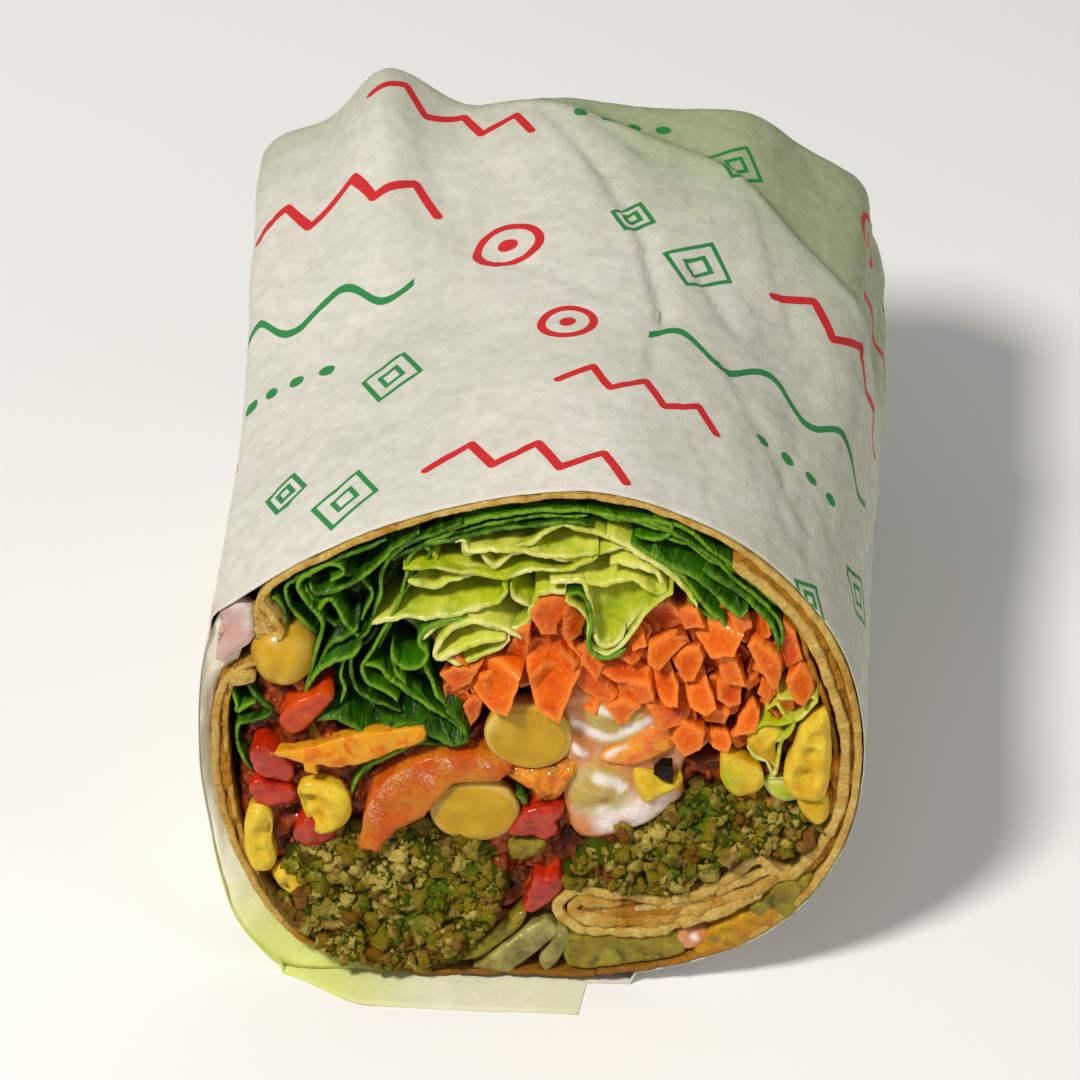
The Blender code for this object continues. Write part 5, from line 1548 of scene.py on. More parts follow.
def bread_wall(heap):
    """The outer wall: a closed tube with a worked cut edge and a rounded, closed far end."""
    rows = [r for r in ROWS if r < 90] + [85, LENGTH - BREAD_END]
    end = [(LENGTH - BREAD_END * (1 - math.sin(a)), BREAD_END * (1 - math.cos(a)))
           for a in (0.4, 0.8, 1.2, 1.57)]
    end += [(LENGTH, 16), (LENGTH, 26), (LENGTH, 33)]
    count = len(OUTER_LINE)
    inward = sideways(OUTER_LINE, True)
    spots, marks = [], []
    for i in range(count):
        s = i * OUTER_STEP
        p = OUTER_LINE[i]
        thick = 0.9 + 0.12 * eased(-p.x / 30) + 0.12 * eased(p.x / 30) - 0.2 * eased((12 - p.y) / 10)
        thick += 0.12 * wobble(s / 4, seed=54) - 0.15 * eased((p.y - 56) / 10)
        near = 0.35 * (wobble(s * 0.5, seed=51) + 0.6 * wobble(s * 1.7, 3.0, seed=51))

        def at(r, inset, face, rim):
            """A vertex at a depth, with its inset from the outer side."""
            clear = 0.6 * eased(r / 6) + 0.7 * eased((r - 6) / 20) + 0.12 * wobble(s / 2.3, r / 3, seed=52)
            here = pleated([p], near + r)[0] + inward[i] * (inset + clear)
            spots.append((here.x, near + r, here.y))
            # The last mark paints shade, strongest at the bottom of the wall.
            marks.append((rim, face, 0.3 + 0.2 * wobble(s / 9, seed=53), s, r, 1.4 * eased((9 - p.y) / 9)))

        for depth, inset in reversed(end):
            share = min(1.0, inset / 36)
            here = p + inward[i] * min(inset, 9) * 0.4
            here = END_HEART + (here - END_HEART) * (1 - share)
            spots.append((here.x, depth, here.y))
            marks.append((0.0, -1.0, 0.3, s, depth))
        for r in reversed(rows):
            at(r, 0.0, -1.0, math.exp(-r / 0.45))
        for k, r in NOSE:
            at(r, thick * (0.5 - k), -2 * k, 1.0)
        for r in rows:
            at(r, thick, 1.0, math.exp(-r / 0.45))
    size = len(spots) // count
    faces = []
    for i in range(count):
        a, b = i * size, ((i + 1) % count) * size
        faces += [(a + j, b + j, b + j + 1, a + j + 1) for j in range(size - 1)]
    faces.append([i * size for i in range(count)])
    faces.append([i * size + size - 1 for i in range(count)][::-1])
    heap.add(spots, faces, marks)


class WRAP_OT_leaves(bpy.types.Operator):
    """Folds the dark leaves in at the left side, over the top and beside the wall"""

    bl_idname = "falafel_wrap.leaves"
    bl_label = "Dark leaves"

    def execute(self, context):
        colours, sizes = settings_of(context)
        finish = leaf_finish(colours)
        thick = sizes.leaf / MM
        for name, entries, first in (("leaves_left", LEAVES_LEFT, 60), ("leaves_top", LEAVES_TOP, 80),
                                     ("leaf_side", LEAF_SIDE, 95)):
            heap = Heap()
            add_sheets(heap, entries, thick, first, 0.8)
            if name == "leaves_left":
                add_sheets(heap, (GREEN_LOBE,), thick, 98, 0.6)
                chunk(heap, HERB, -0.5, 1.6, 0.1, (0.15, 0.4), ((0.15, 0.5),), seed=99, step=0.2, tone=0.0)
            if name == "leaves_top":
                # A filler behind the leaves, painted dark as shade by its low tone and its depth.
                chunk(heap, LEAVES_BACK, 4.5, THROUGH, 0.8, (0.0, 1.0), ((1.3, 3.4), (0.5, 1.2)), tone=0.1,
                      step=0.8)
            settle(heap.item(name + "_finished", finish), "leaf", name)
        return {"FINISHED"}


class WRAP_OT_lettuce(bpy.types.Operator):
    """Crumples the pale lettuce in the middle and at the right side"""

    bl_idname = "falafel_wrap.lettuce"
    bl_label = "Pale lettuce"

    def execute(self, context):
        colours, sizes = settings_of(context)
        finish = lettuce_finish(colours)
        thick = sizes.lettuce / MM
        heap = Heap()
        add_sheets(heap, LETTUCE, thick, 100, 0.9, ragged=0.5)
        add_sheets(heap, (POUCH,), thick * 0.8, 118, 0.4, ragged=0.4)
        chunk(heap, POUCH_FACE, 0.5, 10, 0.3, (-0.9, 2.2), ((0.3, 2.0), (0.08, 0.7)), seed=117, tone=0.2,
              step=0.4, slope=(-0.05, 0.22))
        # A filler behind the lettuce, painted dark as shade by its depth.
        chunk(heap, LETTUCE_BACK, 5, THROUGH, 0.8, (0.0, 1.0), ((1.2, 3.4), (0.5, 1.2)), tone=0.1, step=0.8)
        settle(heap.item("lettuce_pale_finished", finish), "lettuce", "lettuce_pale")
        heap = Heap()
        add_sheets(heap, LETTUCE_RIGHT, thick * 0.8, 120, 0.7)
        chunk(heap, GREEN_BIT, 0.6, 8, 0.3, (0.3, 1.0), ((0.2, 1.6),), tone=0.0, seed=124, step=0.35)
        settle(heap.item("lettuce_right_finished", finish), "lettuce", "lettuce_right")
        return {"FINISHED"}


def inside(loop, u, w):
    """Whether a place on the face is inside a loop."""
    within = False
    for a, b in zip(loop, loop[1:] + loop[:1]):
        if (a.y > w) != (b.y > w) and u < a.x + (w - a.y) * (b.x - a.x) / (b.y - a.y):
            within = not within
    return within


STICKS = 130  # loose carrot sticks, behind the ends that lie in front
ASKEW = 0.35  # how far a stick turns out of the face and about itself, in radians


def stick_places(width, dice):
    """Points in the heap of carrot that hold the shape, the tone, the turn and the size of the sticks."""
    loop = grown(turned_left(curve_through(CARROTS, 1.0, True)), -1.2)
    laid = []
    while len(laid) < STICKS:
        u, w = dice.uniform(-12, 35), dice.uniform(34, 58)
        if inside(loop, u, w):
            laid.append((u, dice.uniform(1.2, 4.0), w, width * dice.uniform(0.7, 1.2), dice.uniform(6, 10),
                         width * dice.uniform(0.7, 1.3), dice.uniform(-60, 60)))
    turns, scales = [], []
    for _, _, _, wide, long, high, tilt in laid:
        turns += [dice.uniform(-1, 1) * ASKEW, math.radians(tilt), dice.uniform(-1, 1) * ASKEW]
        scales += [wide * MM, long * MM, high * MM]
    mesh = bpy.data.meshes.new("stick places")
    mesh.from_pydata([wrap_form(spot[:3]) for spot in laid], [], [])
    for title, kind, field, values in (
        ("kind", "INT", "value", [k % 5 for k in range(STICKS)]),
        ("tone", "FLOAT", "value", [dice.random() for _ in laid]),
        ("turn", "FLOAT_VECTOR", "vector", turns),
        ("size", "FLOAT_VECTOR", "vector", scales),
    ):
        mesh.attributes.new(title, kind, "POINT").data.foreach_set(field, values)
    places = bpy.data.objects.new("stick places", mesh)
    bpy.context.scene.collection.objects.link(places)
    return places


class WRAP_OT_carrots(bpy.types.Operator):
    """Heaps the shredded carrot and lays the thick slice and the thin strip"""

    bl_idname = "falafel_wrap.carrots"
    bl_label = "Carrots"

    def execute(self, context):
        colours, sizes = settings_of(context)
        finish = carrot_finish(colours)
        dice = random.Random(sizes.seed)
        places = stick_places(sizes.stick / MM, dice)
        shapes = [stick(k) for k in range(5)]
        sticks = made_by(sticks_tree(), places, "carrot_heap_finished", shapes, Material=finish)
        settle(sticks, "carrot", "carrot_heap")
        # A core behind the sticks, painted dark as shade by its low tone and its depth.
        lone("carrot_core", finish, "carrot", (), CARROTS, 5.0, THROUGH, 0.8, (0.0, 1.0),
             ((0.9, 3.0), (0.4, 1.2)), tone=0.1, step=0.9)
        heap = Heap()
        for k, (near, tone, *outline) in enumerate(CARROT_ENDS):
            far = near + dice.uniform(6, 9)
            chunk(heap, outline, near, far, 0.12, (0.1, 0.3), ((0.06, 1.3), (0.02, 0.4)),
                  slope=(dice.uniform(-0.8, 0.8), dice.uniform(-0.4, 0.8)),
                  drift=(dice.uniform(-0.3, 0.3), dice.uniform(-0.1, 0.35)), tone=tone, seed=200 + k,
                  step=0.35, soft=False, ragged=0.16)
        settle(heap.item("carrot_ends", finish, 38), "carrot")
        lone("carrot_slab_finished", slice_finish(colours), "carrot", ("carrot_slab",), CARROT_SLAB, -1.2, 9,
             0.3, (0.3, 0.9), ((0.3, 2.6), (0.06, 0.6)), tone=0.9, seed=3, step=0.4, drift=(0.05, 0.1),
             slope=(0.03, 0.1), soft=False, ragged=0.12, stains=SLAB_SKIN)
        strip = fruit_finish("carrot strip", colours.strip, colours.strip, colours.orange, 0.15, 0.2)
        lone("carrot_strip_finished", strip, "carrot", ("carrot_strip",), CARROT_STRIP, -1.4, 1.6, 0.2,
             (0.2, 0.7), ((0.15, 1.8), (0.08, 0.5)), tone=0.5, seed=4, step=0.35, drift=(0.0, -0.25),
             ragged=0.15)
        return {"FINISHED"}


# Browned places on the falafels: (u, w, width).
CRUSTS = (
    (11, 22.6, 1.5), (19.4, 20.4, 1.7), (26.6, 25.6, 2.0), (17.4, 26.4, 1.3), (35, 22.6, 2.2),
    (31, 20.4, 1.4), (-31, 12, 2.6), (-27, 6.4, 2.4), (-21, 3.6, 2.6), (-13, 3.4, 2.4), (-5, 13, 1.8),
    (-24.6, 9.8, 0.9), (-10, 5, 1.8), (-30, 17, 1.5),
)


class WRAP_OT_falafel(bpy.types.Operator):
    """Makes the two falafels, with loose crumbs over their broken faces"""

    bl_idname = "falafel_wrap.falafel"
    bl_label = "Falafels"

    def execute(self, context):
        colours, sizes = settings_of(context)
        finish = falafel_finish(colours)
        tree = crumbs_tree()
        falafels = (("falafel_left", FALAFEL_LEFT), ("falafel_right", FALAFEL_RIGHT))
        for seed, (name, outline) in enumerate(falafels):
            heap = Heap()
            # Its tone of -0.5 paints the base as shade between the crumbs.
            chunk(heap, outline, 0.5, THROUGH, 0.6, (0.7, 2.5), ((1.0, 3.4), (0.7, 1.3), (0.3, 0.5)),
                  seed=seed + 7, tone=-0.5, step=0.4, stains=CRUSTS, slope=(0, 0.08), margin=1.1)
            base = heap.item(name + " base", finish)
            grains = [crumb(k, 0.6, 0.8, k % 5 > 0) for k in range(10)]
            item = made_by(tree, base, name + "_finished", grains, **{
                "Material": finish, "Gap": sizes.crumb_gap, "Density": 3.0e6, "Smallest": sizes.crumb * 0.9,
                "Largest": sizes.crumb * 3.3, "Lift": -0.15 * MM, "Seed": sizes.seed + seed,
            })
            settle(item, "falafel", name)
        heap = Heap()
        for k, outline in enumerate(CRUST_BITS):
            chunk(heap, outline, -0.9, 1.0, 0.2, (0.4, 0.7), ((0.3, 0.9), (0.1, 0.4)), seed=14 + k, step=0.25,
                  stains=((10.9, 23.2, 2.5), (17.2, 26.1, 2.0)))
        settle(heap.item("crust_bits", finish), "falafel")
        return {"FINISHED"}


class WRAP_OT_salsa(bpy.types.Operator):
    """Fills the gaps with chopped salsa and runs the yoghurt sauce over it"""

    bl_idname = "falafel_wrap.salsa"
    bl_label = "Salsa and sauce"

    def execute(self, context):
        colours, sizes = settings_of(context)
        finish = fruit_finish("salsa", colours.salsa, colours.salsa_light, colours.salsa_deep, 0.4, 0.0, 2.0)
        heap = Heap()
        chunk(heap, SALSA, 2.2, THROUGH, 0.4, (0.0, 1.0), ((1.0, 2.8), (0.5, 1.0)), seed=21, tone=0.3,
              margin=1.2)
        base = heap.item("salsa base", finish)
        bits = [crumb(20 + k, 0.5, 0.6, True) for k in range(8)]
        item = made_by(crumbs_tree(), base, "salsa_finished", bits, **{
            "Material": finish, "Gap": 1.3 * MM, "Density": 1.0e6, "Smallest": 0.9 * MM, "Largest": 3.4 * MM,
            "Lift": -0.4 * MM, "Seed": sizes.seed + 9,
        })
        settle(item, "salsa", "salsa")
        heap = Heap()
        mush = fruit_finish("tomato mush", colours.orange, colours.strip, colours.salsa, 0.5, 0.2, 2.0)
        chunk(heap, MUSH, 0.2, 6, 0.4, (0.8, 1.6), ((0.5, 1.6), (0.15, 0.6)), seed=24, step=0.35)
        for k, outline in enumerate(AMBER_BITS):
            chunk(heap, outline, 0.8, 6, 0.25, (0.4, 0.8), ((0.12, 1.2),), seed=26 + k, step=0.35)
        settle(heap.item("tomato_mush", mush), "salsa")
        white = list(SAUCE_WHITE)
        for wide, *path in SAUCE_STREAKS:
            white += [(p.x, p.y, wide) for p in curve_through(path, 0.5)]
        heap = Heap()
        chunk(heap, SAUCE_POOL, 0.9, 4, 0.5, (0.5, 2.4), ((0.12, 2.0), (0.04, 0.8)), SAUCE_SWELLS, seed=31,
              step=0.35, stains=white)
        chunk(heap, PINK_BIT, 0.7, 4, 0.3, (0.4, 1.2), ((0.2, 1.2),), seed=32, step=0.3,
              stains=((20.4, 6.8, 0.7),))
        settle(heap.item("sauce_finished", sauce_finish(colours)), "sauce", "sauce")
        olive = fruit_finish("olive", colours.olive, colours.olive, colours.olive, 0.1, 0.0)
        lone("olive_bit", olive, "salsa", (), OLIVE, -1.6, 2, 0.15, (0.15, 0.5), ((0.08, 0.8),), seed=23,
             step=0.25, soft=False)
        return {"FINISHED"}


class WRAP_OT_chickpeas(bpy.types.Operator):
    """Makes the cut and the whole chickpeas"""

    bl_idname = "falafel_wrap.chickpeas"
    bl_label = "Chickpeas"

    def execute(self, context):
        finish = chickpea_finish(settings_of(context)[0])
        for k, (name, (middle, half, tilt)) in enumerate(CUT_CHICKPEAS.items()):
            lone(name + "_finished", finish, "chickpea", (name,),
                 oval((middle[0], middle[2]), (half[0], half[2]), tilt), 0.1, half[1], 0.5, (0.3, 0.9),
                 ((0.09, 2.0), (0.03, 0.6)), seed=30 + k, step=0.35, tone=0.5, belly=half[1] * 1.02,
                 stains=((middle[0] - half[0] * 0.9, middle[2] + half[2] * 0.4, 1.2),))
        for k, (name, (middle, half, tilt)) in enumerate(CHICKPEAS.items()):
            heap = Heap()
            ball(heap, middle, half, tilt, 33 + k)
            settle(heap.item(name + "_finished", finish), "chickpea", name)
        return {"FINISHED"}


class WRAP_OT_corn(bpy.types.Operator):
    """Makes the corn kernels and the piece of yellow pepper"""

    bl_idname = "falafel_wrap.corn"
    bl_label = "Corn and yellow pepper"

    def execute(self, context):
        colours, _ = settings_of(context)
        finish = fruit_finish("corn", colours.corn, colours.corn_light, colours.corn_deep, 0.3, 0.2,
                              stained=colours.lettuce, mottled=0.15)
        for k, (name, (near, far, dents, *outline)) in enumerate(KERNELS.items()):
            lone(name + "_finished", finish, "corn", (name,), outline, near, far, 0.4, (1.0, 1.6),
                 ((0.14, 1.8), (0.04, 0.5)), dents, seed=42 + k, step=0.3, belly=(far - near) * 1.03,
                 stains=((23.4, 32.4, 2.2), (24.6, 30, 1.4)))
        lone("corn_pulp", finish, "corn", (), CORN_PULP, 0.2, 7, 0.35, (0.8, 1.4), ((0.3, 1.4), (0.08, 0.5)),
             seed=51, step=0.3)
        yellow = fruit_finish("yellow pepper", colours.corn_deep, colours.corn, colours.pickle, 0.4, 0.3)
        lone("pepper_yellow_finished", yellow, "corn", ("pepper_yellow",), YELLOW_PEPPER, 0.5, 30, 0.35,
             (0.4, 1.0), ((0.12, 1.8),), seed=50, step=0.35, margin=1.1)
        return {"FINISHED"}


class WRAP_OT_peppers(bpy.types.Operator):
    """Dices the peppers and the tomato"""

    bl_idname = "falafel_wrap.peppers"
    bl_label = "Diced peppers"

    def execute(self, context):
        colours, _ = settings_of(context)
        red = fruit_finish("red pepper", colours.pepper, colours.pepper_light, colours.pepper_deep, 0.7,
                           mottled=0.5)
        orange = fruit_finish("orange pepper", colours.carrot_deep, colours.orange, colours.pepper_light, 0.4)
        green = fruit_finish("pickle", colours.pickle, colours.pickle_light, colours.falafel_dark, 0.3, 0.2)
        others = {"pepper_orange": (orange, "pepper"), "pickle_bit": (green, "pickle")}
        for k, (name, (near, far, dents, *outline)) in enumerate(DICE.items()):
            finish, slot = others.get(name, (red, "pepper"))
            lone(name + "_finished", finish, slot, (name,), outline, near, far, 0.25, (0.3, 0.7),
                 ((0.25, 1.8), (0.03, 0.6)), dents, seed=60 + k, step=0.3, slope=(0.12, -0.25),
                 drift=(0.03, 0.1), ragged=0.2)
        # The sauce-coloured spots along the tomato's upper left edge are a painted highlight.
        film = fruit_finish("filmed tomato", colours.strip, colours.tomato, colours.orange, 0.6, 0.0,
                            stained=colours.sauce)
        lone("tomato_sauced_finished", film, "pepper", ("tomato_sauced",), TOMATO, 0.1, 8, 0.4, (0.7, 1.8),
             ((0.2, 1.8), (0.06, 0.6)), seed=70, step=0.3,
             stains=[(8.6 + 0.5 * k, 34.9 + 0.36 * k, 0.5) for k in range(5)])
        heap = Heap()
        pickles = ((PICKLE, 0.5, THROUGH), (PICKLE_END, 0.5, 60), (DARK_PICKLE, 0.4, 30))
        for k, (outline, near, far) in enumerate(pickles):
            chunk(heap, outline, near, far, 0.35, (0.4, 1.0), ((0.15, 1.8), (0.05, 0.5)), seed=71 + k,
                  step=0.35, margin=1.1)
        settle(heap.item("pickles_finished", green), "pickle", "pickles")
        pale = fruit_finish("onion", colours.onion, colours.onion_light, colours.pickle, 0.6, 0.0, 1.0,
                            colours.onion_light, colours.lettuce_edge)
        for k, outline in enumerate(ONIONS):
            name = f"onion_{k + 1}"
            lone(name + "_finished", pale, "onion", (name,), outline, 0.2 + 0.3 * k, 22, 0.2, (0.15, 0.5),
                 ((0.05, 1.4),), seed=74 + k, step=0.25,
                 stains=[(-7.4 + 0.56 * j, 1.9 + 0.5 * j, 0.26) for j in range(14) if j % 5])
        return {"FINISHED"}


# The folded paper in the notch at the upper left.
NOTCH_PAPER = (
    (-38.8, 54.7), (-37.8, 54.6), (-36.7, 54), (-36.3, 52.5), (-36.4, 50), (-37.2, 48.8), (-40.6, 46.4),
    (-41.4, 46.8), (-41.2, 50), (-40.6, 53.6),
)


def paper_line():
    """The outer side of the paper round the tortilla, from under its middle."""
    around = grown([Vector(p) for p in OUTER], GAP + PAPER + 0.15)
    return curve_through(around[:10] + [Vector(p) for p in PAPER_LEFT], PAPER_STEP, True)


def paper_front(p, s):
    """Depth of the paper's front edge: the lower left side runs out in a tail."""
    ripple = 0.25 * wobble(s / 6, seed=90) + 0.1 * wobble(s / 1.7, seed=91)
    if p.x > TAIL_END or p.y > 24:
        return ripple + 0.3
    return 0.3 + ripple - TAIL * eased((p.x + 36) / 15) * eased((18 - p.y) / 12)


def crease(p, s, d):
    """How far the paper's folds press in at a place along and into the wrap."""
    broad = abs(wobble(s / 17 + d / 60, d / 31, seed=92))
    fine = abs(wobble(s / 6 - d / 25, d / 13, seed=93))
    slow = 0.5 + 0.5 * wobble(s / 12, d / 9, seed=94)
    deep = 0.3 * max(0.0, 1 - broad * 5) + 0.15 * max(0.0, 1 - fine * 6) + 0.3 * slow
    if p.y > 40:
        at = Vector((p.x, d))
        for a, b, much in FOLDS:
            near, share = geometry.intersect_point_line(at, Vector(a), Vector(b))
            near = Vector(a).lerp(Vector(b), min(1.0, max(0.0, share)))
            side = (Vector(b) - Vector(a)).cross(at - near) / (Vector(b) - Vector(a)).length
            step = 0.5 + 0.5 * max(-1.0, min(1.0, side / 0.4))
            deep += 1.9 * much * step * max(0.0, 1 - (at - near).length / 4) ** 1.5
    return min(1.6, deep)


def bulged(p, d):
    """A place on the paper's outline at a depth, pushed out towards the closed end."""
    moved = p.copy()
    for at, push, wide, start, end in BULGES:
        share = math.exp(-(((p - Vector(at)).length / wide) ** 2))
        moved += Vector(push) * eased((d - start) / (end - start)) * share
    return moved


def tucked(p, d):
    """1 where the paper's far right corner is folded in, behind a slanting edge."""
    edge = 103 - 0.01 * (p.x + 20) ** 2
    return eased((d - edge) / 4) * eased((p.y - 42) / 10) * eased((p.x + 22) / 8)


def paper_ring(line, inward, depth_of, inset, size=1.0, fold=0.0):
    """One ring of the paper, as places in the straight space."""
    floor = -TORTILLA_LIFT / math.cos(LEAN)
    ring = []
    for k, (p, side) in enumerate(zip(line, inward)):
        s = k * PAPER_STEP
        d = depth_of(p, s)
        low = p.y < 1.2 and -34 < p.x < 13
        lies = max(eased((p.x + 41) / 5), eased((p.y - 53) / 3)) * (1 - eased(d / 9))
        pressed = 0.0 if low else crease(p, s, d) * eased((d + 2) / 10) + 0.55 * lies + 2.0 * tucked(p, d)
        here = bulged(p, d) + side * (inset + pressed)
        w = floor + inset if low else max(floor + inset, here.y)
        u, w = here.x * size, 30 + (w - 30) * (size if w > 1 or size < 0.9 else 1)
        ring.append((u, d + fold * wobble(s / 8, 1.0, seed=95), w))
    return ring


# The rings of the paper's closed end: how far before its very end, and the size.
CLOSING = (
    (3.4, 1.0), (2.4, 0.998), (1.3, 0.99), (0.6, 0.975), (0.2, 0.955), (0, 0.93), (0, 0.8), (0, 0.65),
    (0, 0.5), (0, 0.35), (0, 0.2), (0, 0.08),
)


def paper_side(line, inset):
    """The rings of one side of the paper, from its front edge to its closed end."""
    inward = sideways(line, True)
    rings = []
    for k in range(PAPER_RINGS):
        t = k / PAPER_RINGS

        def depth_of(p, s, t=t):
            """Spreads the rings from the front edge to the start of the closed end."""
            return paper_front(p, s) * (1 - t) ** 2 + (PAPER_END - 4.4) * t

        rings.append(paper_ring(line, inward, depth_of, inset))
    for before, size in CLOSING:
        depth = PAPER_END - before
        rings.append(paper_ring(line, inward, lambda p, s, d=depth: d - inset, inset, size, 0.3 * (1 - size)))
    return rings


def paper_tints(p, d):
    """How lime, how greasy and how shady the paper is. Where light shines through it, shady is below 0."""
    tail = eased((2.5 - d) / 2) if p.y < 20 and p.x < TAIL_END + 1 else 0.0
    lime = tail * (0.25 + 0.55 * eased((-12 - p.x) / 16))
    lime += 0.25 * eased((14 - p.y) / 12) * eased((-30 - p.x) / 8)
    greasy = math.exp(-((p - Vector((-40.5, 50))).length / 3.6) ** 2) * math.exp(-max(0.0, d) / 3)
    shady = tucked(p, d) + 0.35 * eased((p.x - 20) / 20) + 0.35 * eased((d - 82) / 24)
    shady += 0.85 * eased((d - 55) / 40) * eased((p.x + 8) / 25)
    lit = 0.6 * eased((-38 - p.x) / 4) if p.y < 50 and d < 30 else 0.0
    return lime, greasy, min(1.0, shady) - tail * 0.35 - lit


def hem(heap):
    """The paper's folded edge in the slot at the left, from its outer line in to the tortilla."""
    loop = pleated(OUTER_LINE, 0)
    outer = [p for p in curve_through(PAPER_LEFT, 0.8) if p.x < -14 and p.y < 53.5]
    rows = (0.0, 0.2, 0.4, 0.6, 0.8, 1.0)
    spots, marks = [], []
    for i, p in enumerate(outer):
        near = min(loop, key=lambda q, p=p: (q - p).length)
        start = p + (near - p).normalized() * 0.25
        for back, t in [(0.0, t) for t in rows] + [(0.25, t) for t in reversed(rows)]:
            here = start.lerp(near, t)
            d = 0.7 + back + 1.6 * t + 0.35 * wobble(i * 0.22, t * 2, seed=97)
            spots.append((here.x, d, here.y))
            # The last mark, -1, paints the hem brightly lit.
            marks.append((0.1 + eased((18 - p.y) / 18) * 0.75, 0.0, 0.0, i * 0.8, 40 + t * 4, -1.0))
    size = 2 * len(rows)
    faces = [(a + j, a + size + j, a + size + (j + 1) % size, a + (j + 1) % size)
             for a in range(0, (len(outer) - 1) * size, size) for j in range(size)]
    for a in (0, (len(outer) - 1) * size):
        faces += [(a + j, a + j + 1, a + size - 2 - j, a + size - 1 - j) for j in range(size // 2 - 1)]
    heap.add(spots, faces, marks)


class WRAP_OT_paper(bpy.types.Operator):
    """Folds the printed paper round the wrap, with a tail under the cut face"""

    bl_idname = "falafel_wrap.paper"
    bl_label = "Paper"

    def execute(self, context):
        colours, sizes = settings_of(context)
        line = paper_line()
        count = len(line)
        outer, inner = (paper_side(line, inset) for inset in (0.0, sizes.paper / MM))
        rings = outer[::-1] + inner
        spots, marks = [], []
        for j, ring in enumerate(rings):
            place = len(outer) - 1 - j  # among the outer rings, from the front
            inked = float(place >= 0 and place not in (PRINT_TURNS, PRINT_TURNS + 1))
            for k, (p, spot) in enumerate(zip(line, ring)):
                lime, greasy, shady = paper_tints(p, spot[1])
                run = (spot[0] + 20, spot[2] + 60) if place > PRINT_TURNS else (k * PAPER_STEP, spot[1])
                spots.append(spot)
                # The last mark is the painted shade and light from paper_tints.
                marks.append((lime, inked, greasy, *run, shady))
        faces = []
        for j in range(len(rings) - 1):
            a, b = j * count, (j + 1) * count
            faces += [(a + k, a + (k + 1) % count, b + (k + 1) % count, b + k) for k in range(count)]
        faces.append(list(range(count)))
        faces.append([(len(rings) - 1) * count + k for k in range(count)][::-1])
        heap = Heap()
        heap.add(spots, faces, marks)
        finish = paper_finish(colours)
        settle(heap.item("paper_wrap_finished", finish), "paper", "paper_wrap")
        heap = Heap()
        hem(heap)
        settle(heap.item("paper_hem", finish), "paper")
        heap = Heap()
        chunk(heap, NOTCH_PAPER, 0.4, 3, 0.08, (0.05, 0.4), ((0.22, 2.6), (0.05, 0.8)), tone=0.9, seed=96,
              step=0.35, slope=(0.2, 0.0), margin=-6, soft=False)
        heap.marks = [(0.0, 0.0, *mark[2:]) for mark in heap.marks]
        settle(heap.item("paper_tuck", finish), "paper")
        return {"FINISHED"}


# ---- Stage ----

CAMERA_AT = (28.87, -525.76, 551.91)  # from the foot of the cut face, in millimetres
CAMERA_LOOKS = (-0.0402, 0.7421, -0.6691)
LENS = 193.5


def area_light(name, place, aim, size, power, colour):
    """A soft light that faces a place."""
    light = bpy.data.lights.new(name, "AREA")
    light.shape = "DISK"
    light.size = size
    light.energy = power
    light.color = colour
    item = bpy.data.objects.new(name, light)
    item.location = place
    item.rotation_euler = (Vector(aim) - Vector(place)).to_track_quat("-Z", "Y").to_euler()
    bpy.context.scene.collection.objects.link(item)


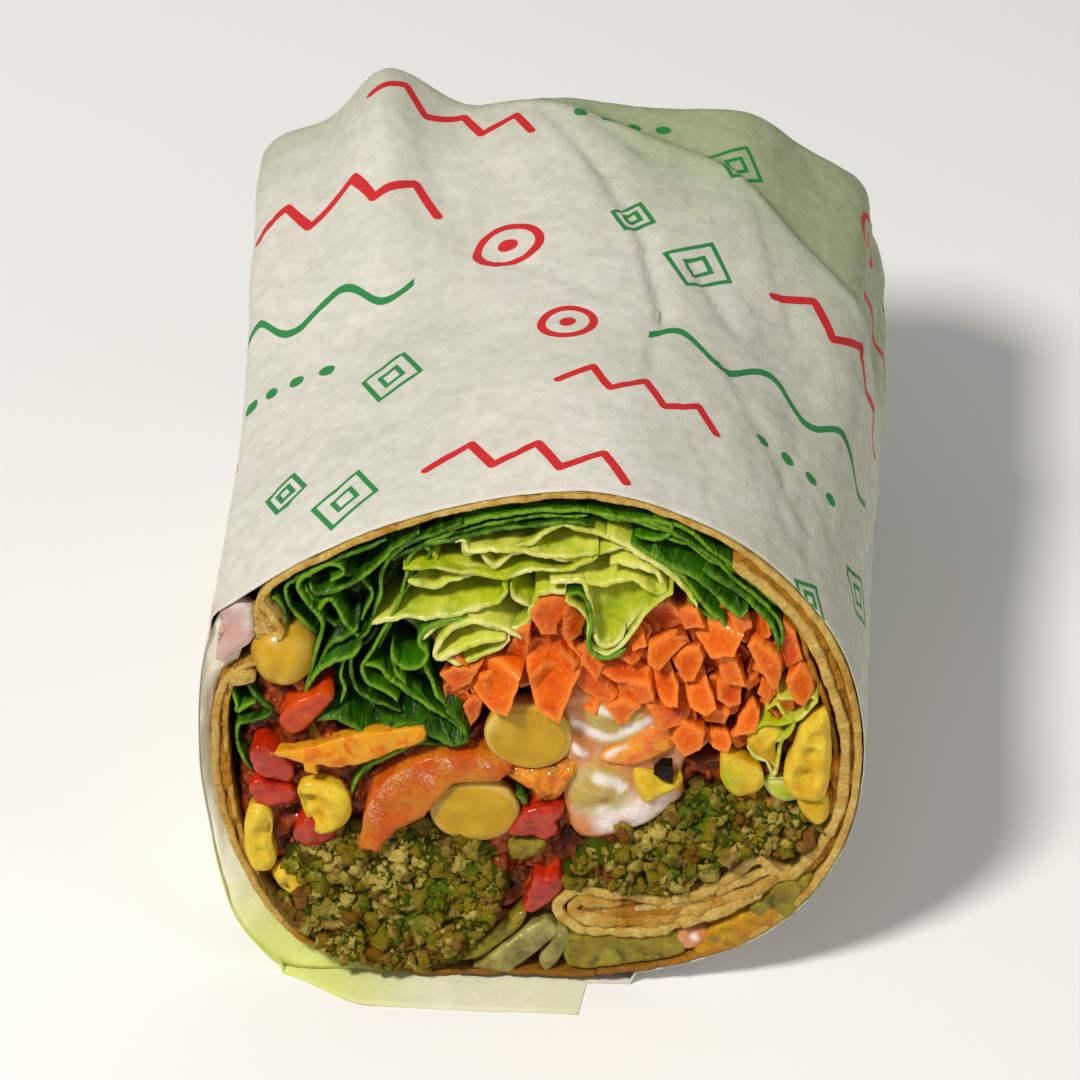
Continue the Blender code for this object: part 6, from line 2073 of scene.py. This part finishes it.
class WRAP_OT_stage(bpy.types.Operator):
    """Sets the pale floor, the soft light and the camera"""

    bl_idname = "falafel_wrap.stage"
    bl_label = "Stage"

    def execute(self, context):
        colours, _ = settings_of(context)
        f = Finish("pale floor")
        base = f.blend(f.cloud(0.02, 2) * 0.2, colours.floor, (0.85, 0.85, 0.84, 1))
        finish = f.done(base, 0.8)
        mesh = bpy.data.meshes.new("floor")
        reach = 1.5
        corners = [(-reach, -reach, 0), (reach, -reach, 0), (reach, reach, 0), (-reach, reach, 0)]
        mesh.from_pydata(corners, [], [(0, 1, 2, 3)])
        mesh.materials.append(finish)
        floor = bpy.data.objects.new("floor", mesh)
        bpy.context.scene.collection.objects.link(floor)
        world = bpy.data.worlds.new("studio")
        world.use_nodes = True
        world.node_tree.nodes["Background"].inputs["Color"].default_value = (1.0, 0.99, 0.97, 1)
        world.node_tree.nodes["Background"].inputs["Strength"].default_value = 0.3
        bpy.context.scene.world = world
        area_light("key", (-0.35, -0.35, 0.75), (0, 0, 0.03), 0.16, 6.4, (1.0, 0.97, 0.93))
        area_light("fill", (0.6, -0.3, 0.5), (0, 0, 0.03), 0.5, 0.8, (1.0, 0.98, 0.96))
        camera = bpy.data.cameras.new("camera")
        camera.lens = LENS
        camera.sensor_width = 36
        item = bpy.data.objects.new("camera", camera)
        item.location = Vector(CAMERA_AT) * MM + SHIFT
        item.rotation_euler = Vector(CAMERA_LOOKS).to_track_quat("-Z", "Y").to_euler()
        bpy.context.scene.collection.objects.link(item)
        bpy.context.scene.camera = item
        bpy.context.scene.view_settings.view_transform = "Standard"
        return {"FINISHED"}


# ---- The add-on ----


class WRAP_PT_panel(bpy.types.Panel):
    """Lists the wrap's pieces, sizes and colours"""

    bl_idname = "WRAP_PT_panel"
    bl_label = "Falafel wrap"
    bl_space_type = "VIEW_3D"
    bl_region_type = "UI"
    bl_category = "Wrap"

    def draw(self, context):
        for operator in OPERATORS:
            self.layout.operator(operator.bl_idname)
        colours, sizes = settings_of(context)
        for group in (sizes, colours):
            box = self.layout.box()
            for title in group.__annotations__:
                box.prop(group, title)


OPERATORS = (
    WRAP_OT_paper, WRAP_OT_tortilla, WRAP_OT_leaves, WRAP_OT_lettuce, WRAP_OT_carrots, WRAP_OT_falafel,
    WRAP_OT_salsa, WRAP_OT_chickpeas, WRAP_OT_corn, WRAP_OT_peppers, WRAP_OT_stage,
)
CLASSES = (WrapColours, WrapSizes, WrapSettings, *OPERATORS, WRAP_PT_panel)


def register():
    """Adds the classes and the settings."""
    for kind in CLASSES:
        bpy.utils.register_class(kind)
    bpy.types.Scene.falafel_wrap = bpy.props.PointerProperty(type=WrapSettings)


def unregister():
    """Takes the classes and the settings away."""
    del bpy.types.Scene.falafel_wrap
    for kind in reversed(CLASSES):
        bpy.utils.unregister_class(kind)


def main():
    """Makes the whole wrap."""
    register()
    for operator in OPERATORS:
        group, name = operator.bl_idname.split(".")
        getattr(getattr(bpy.ops, group), name)()


if __name__ == "__main__":
    main()
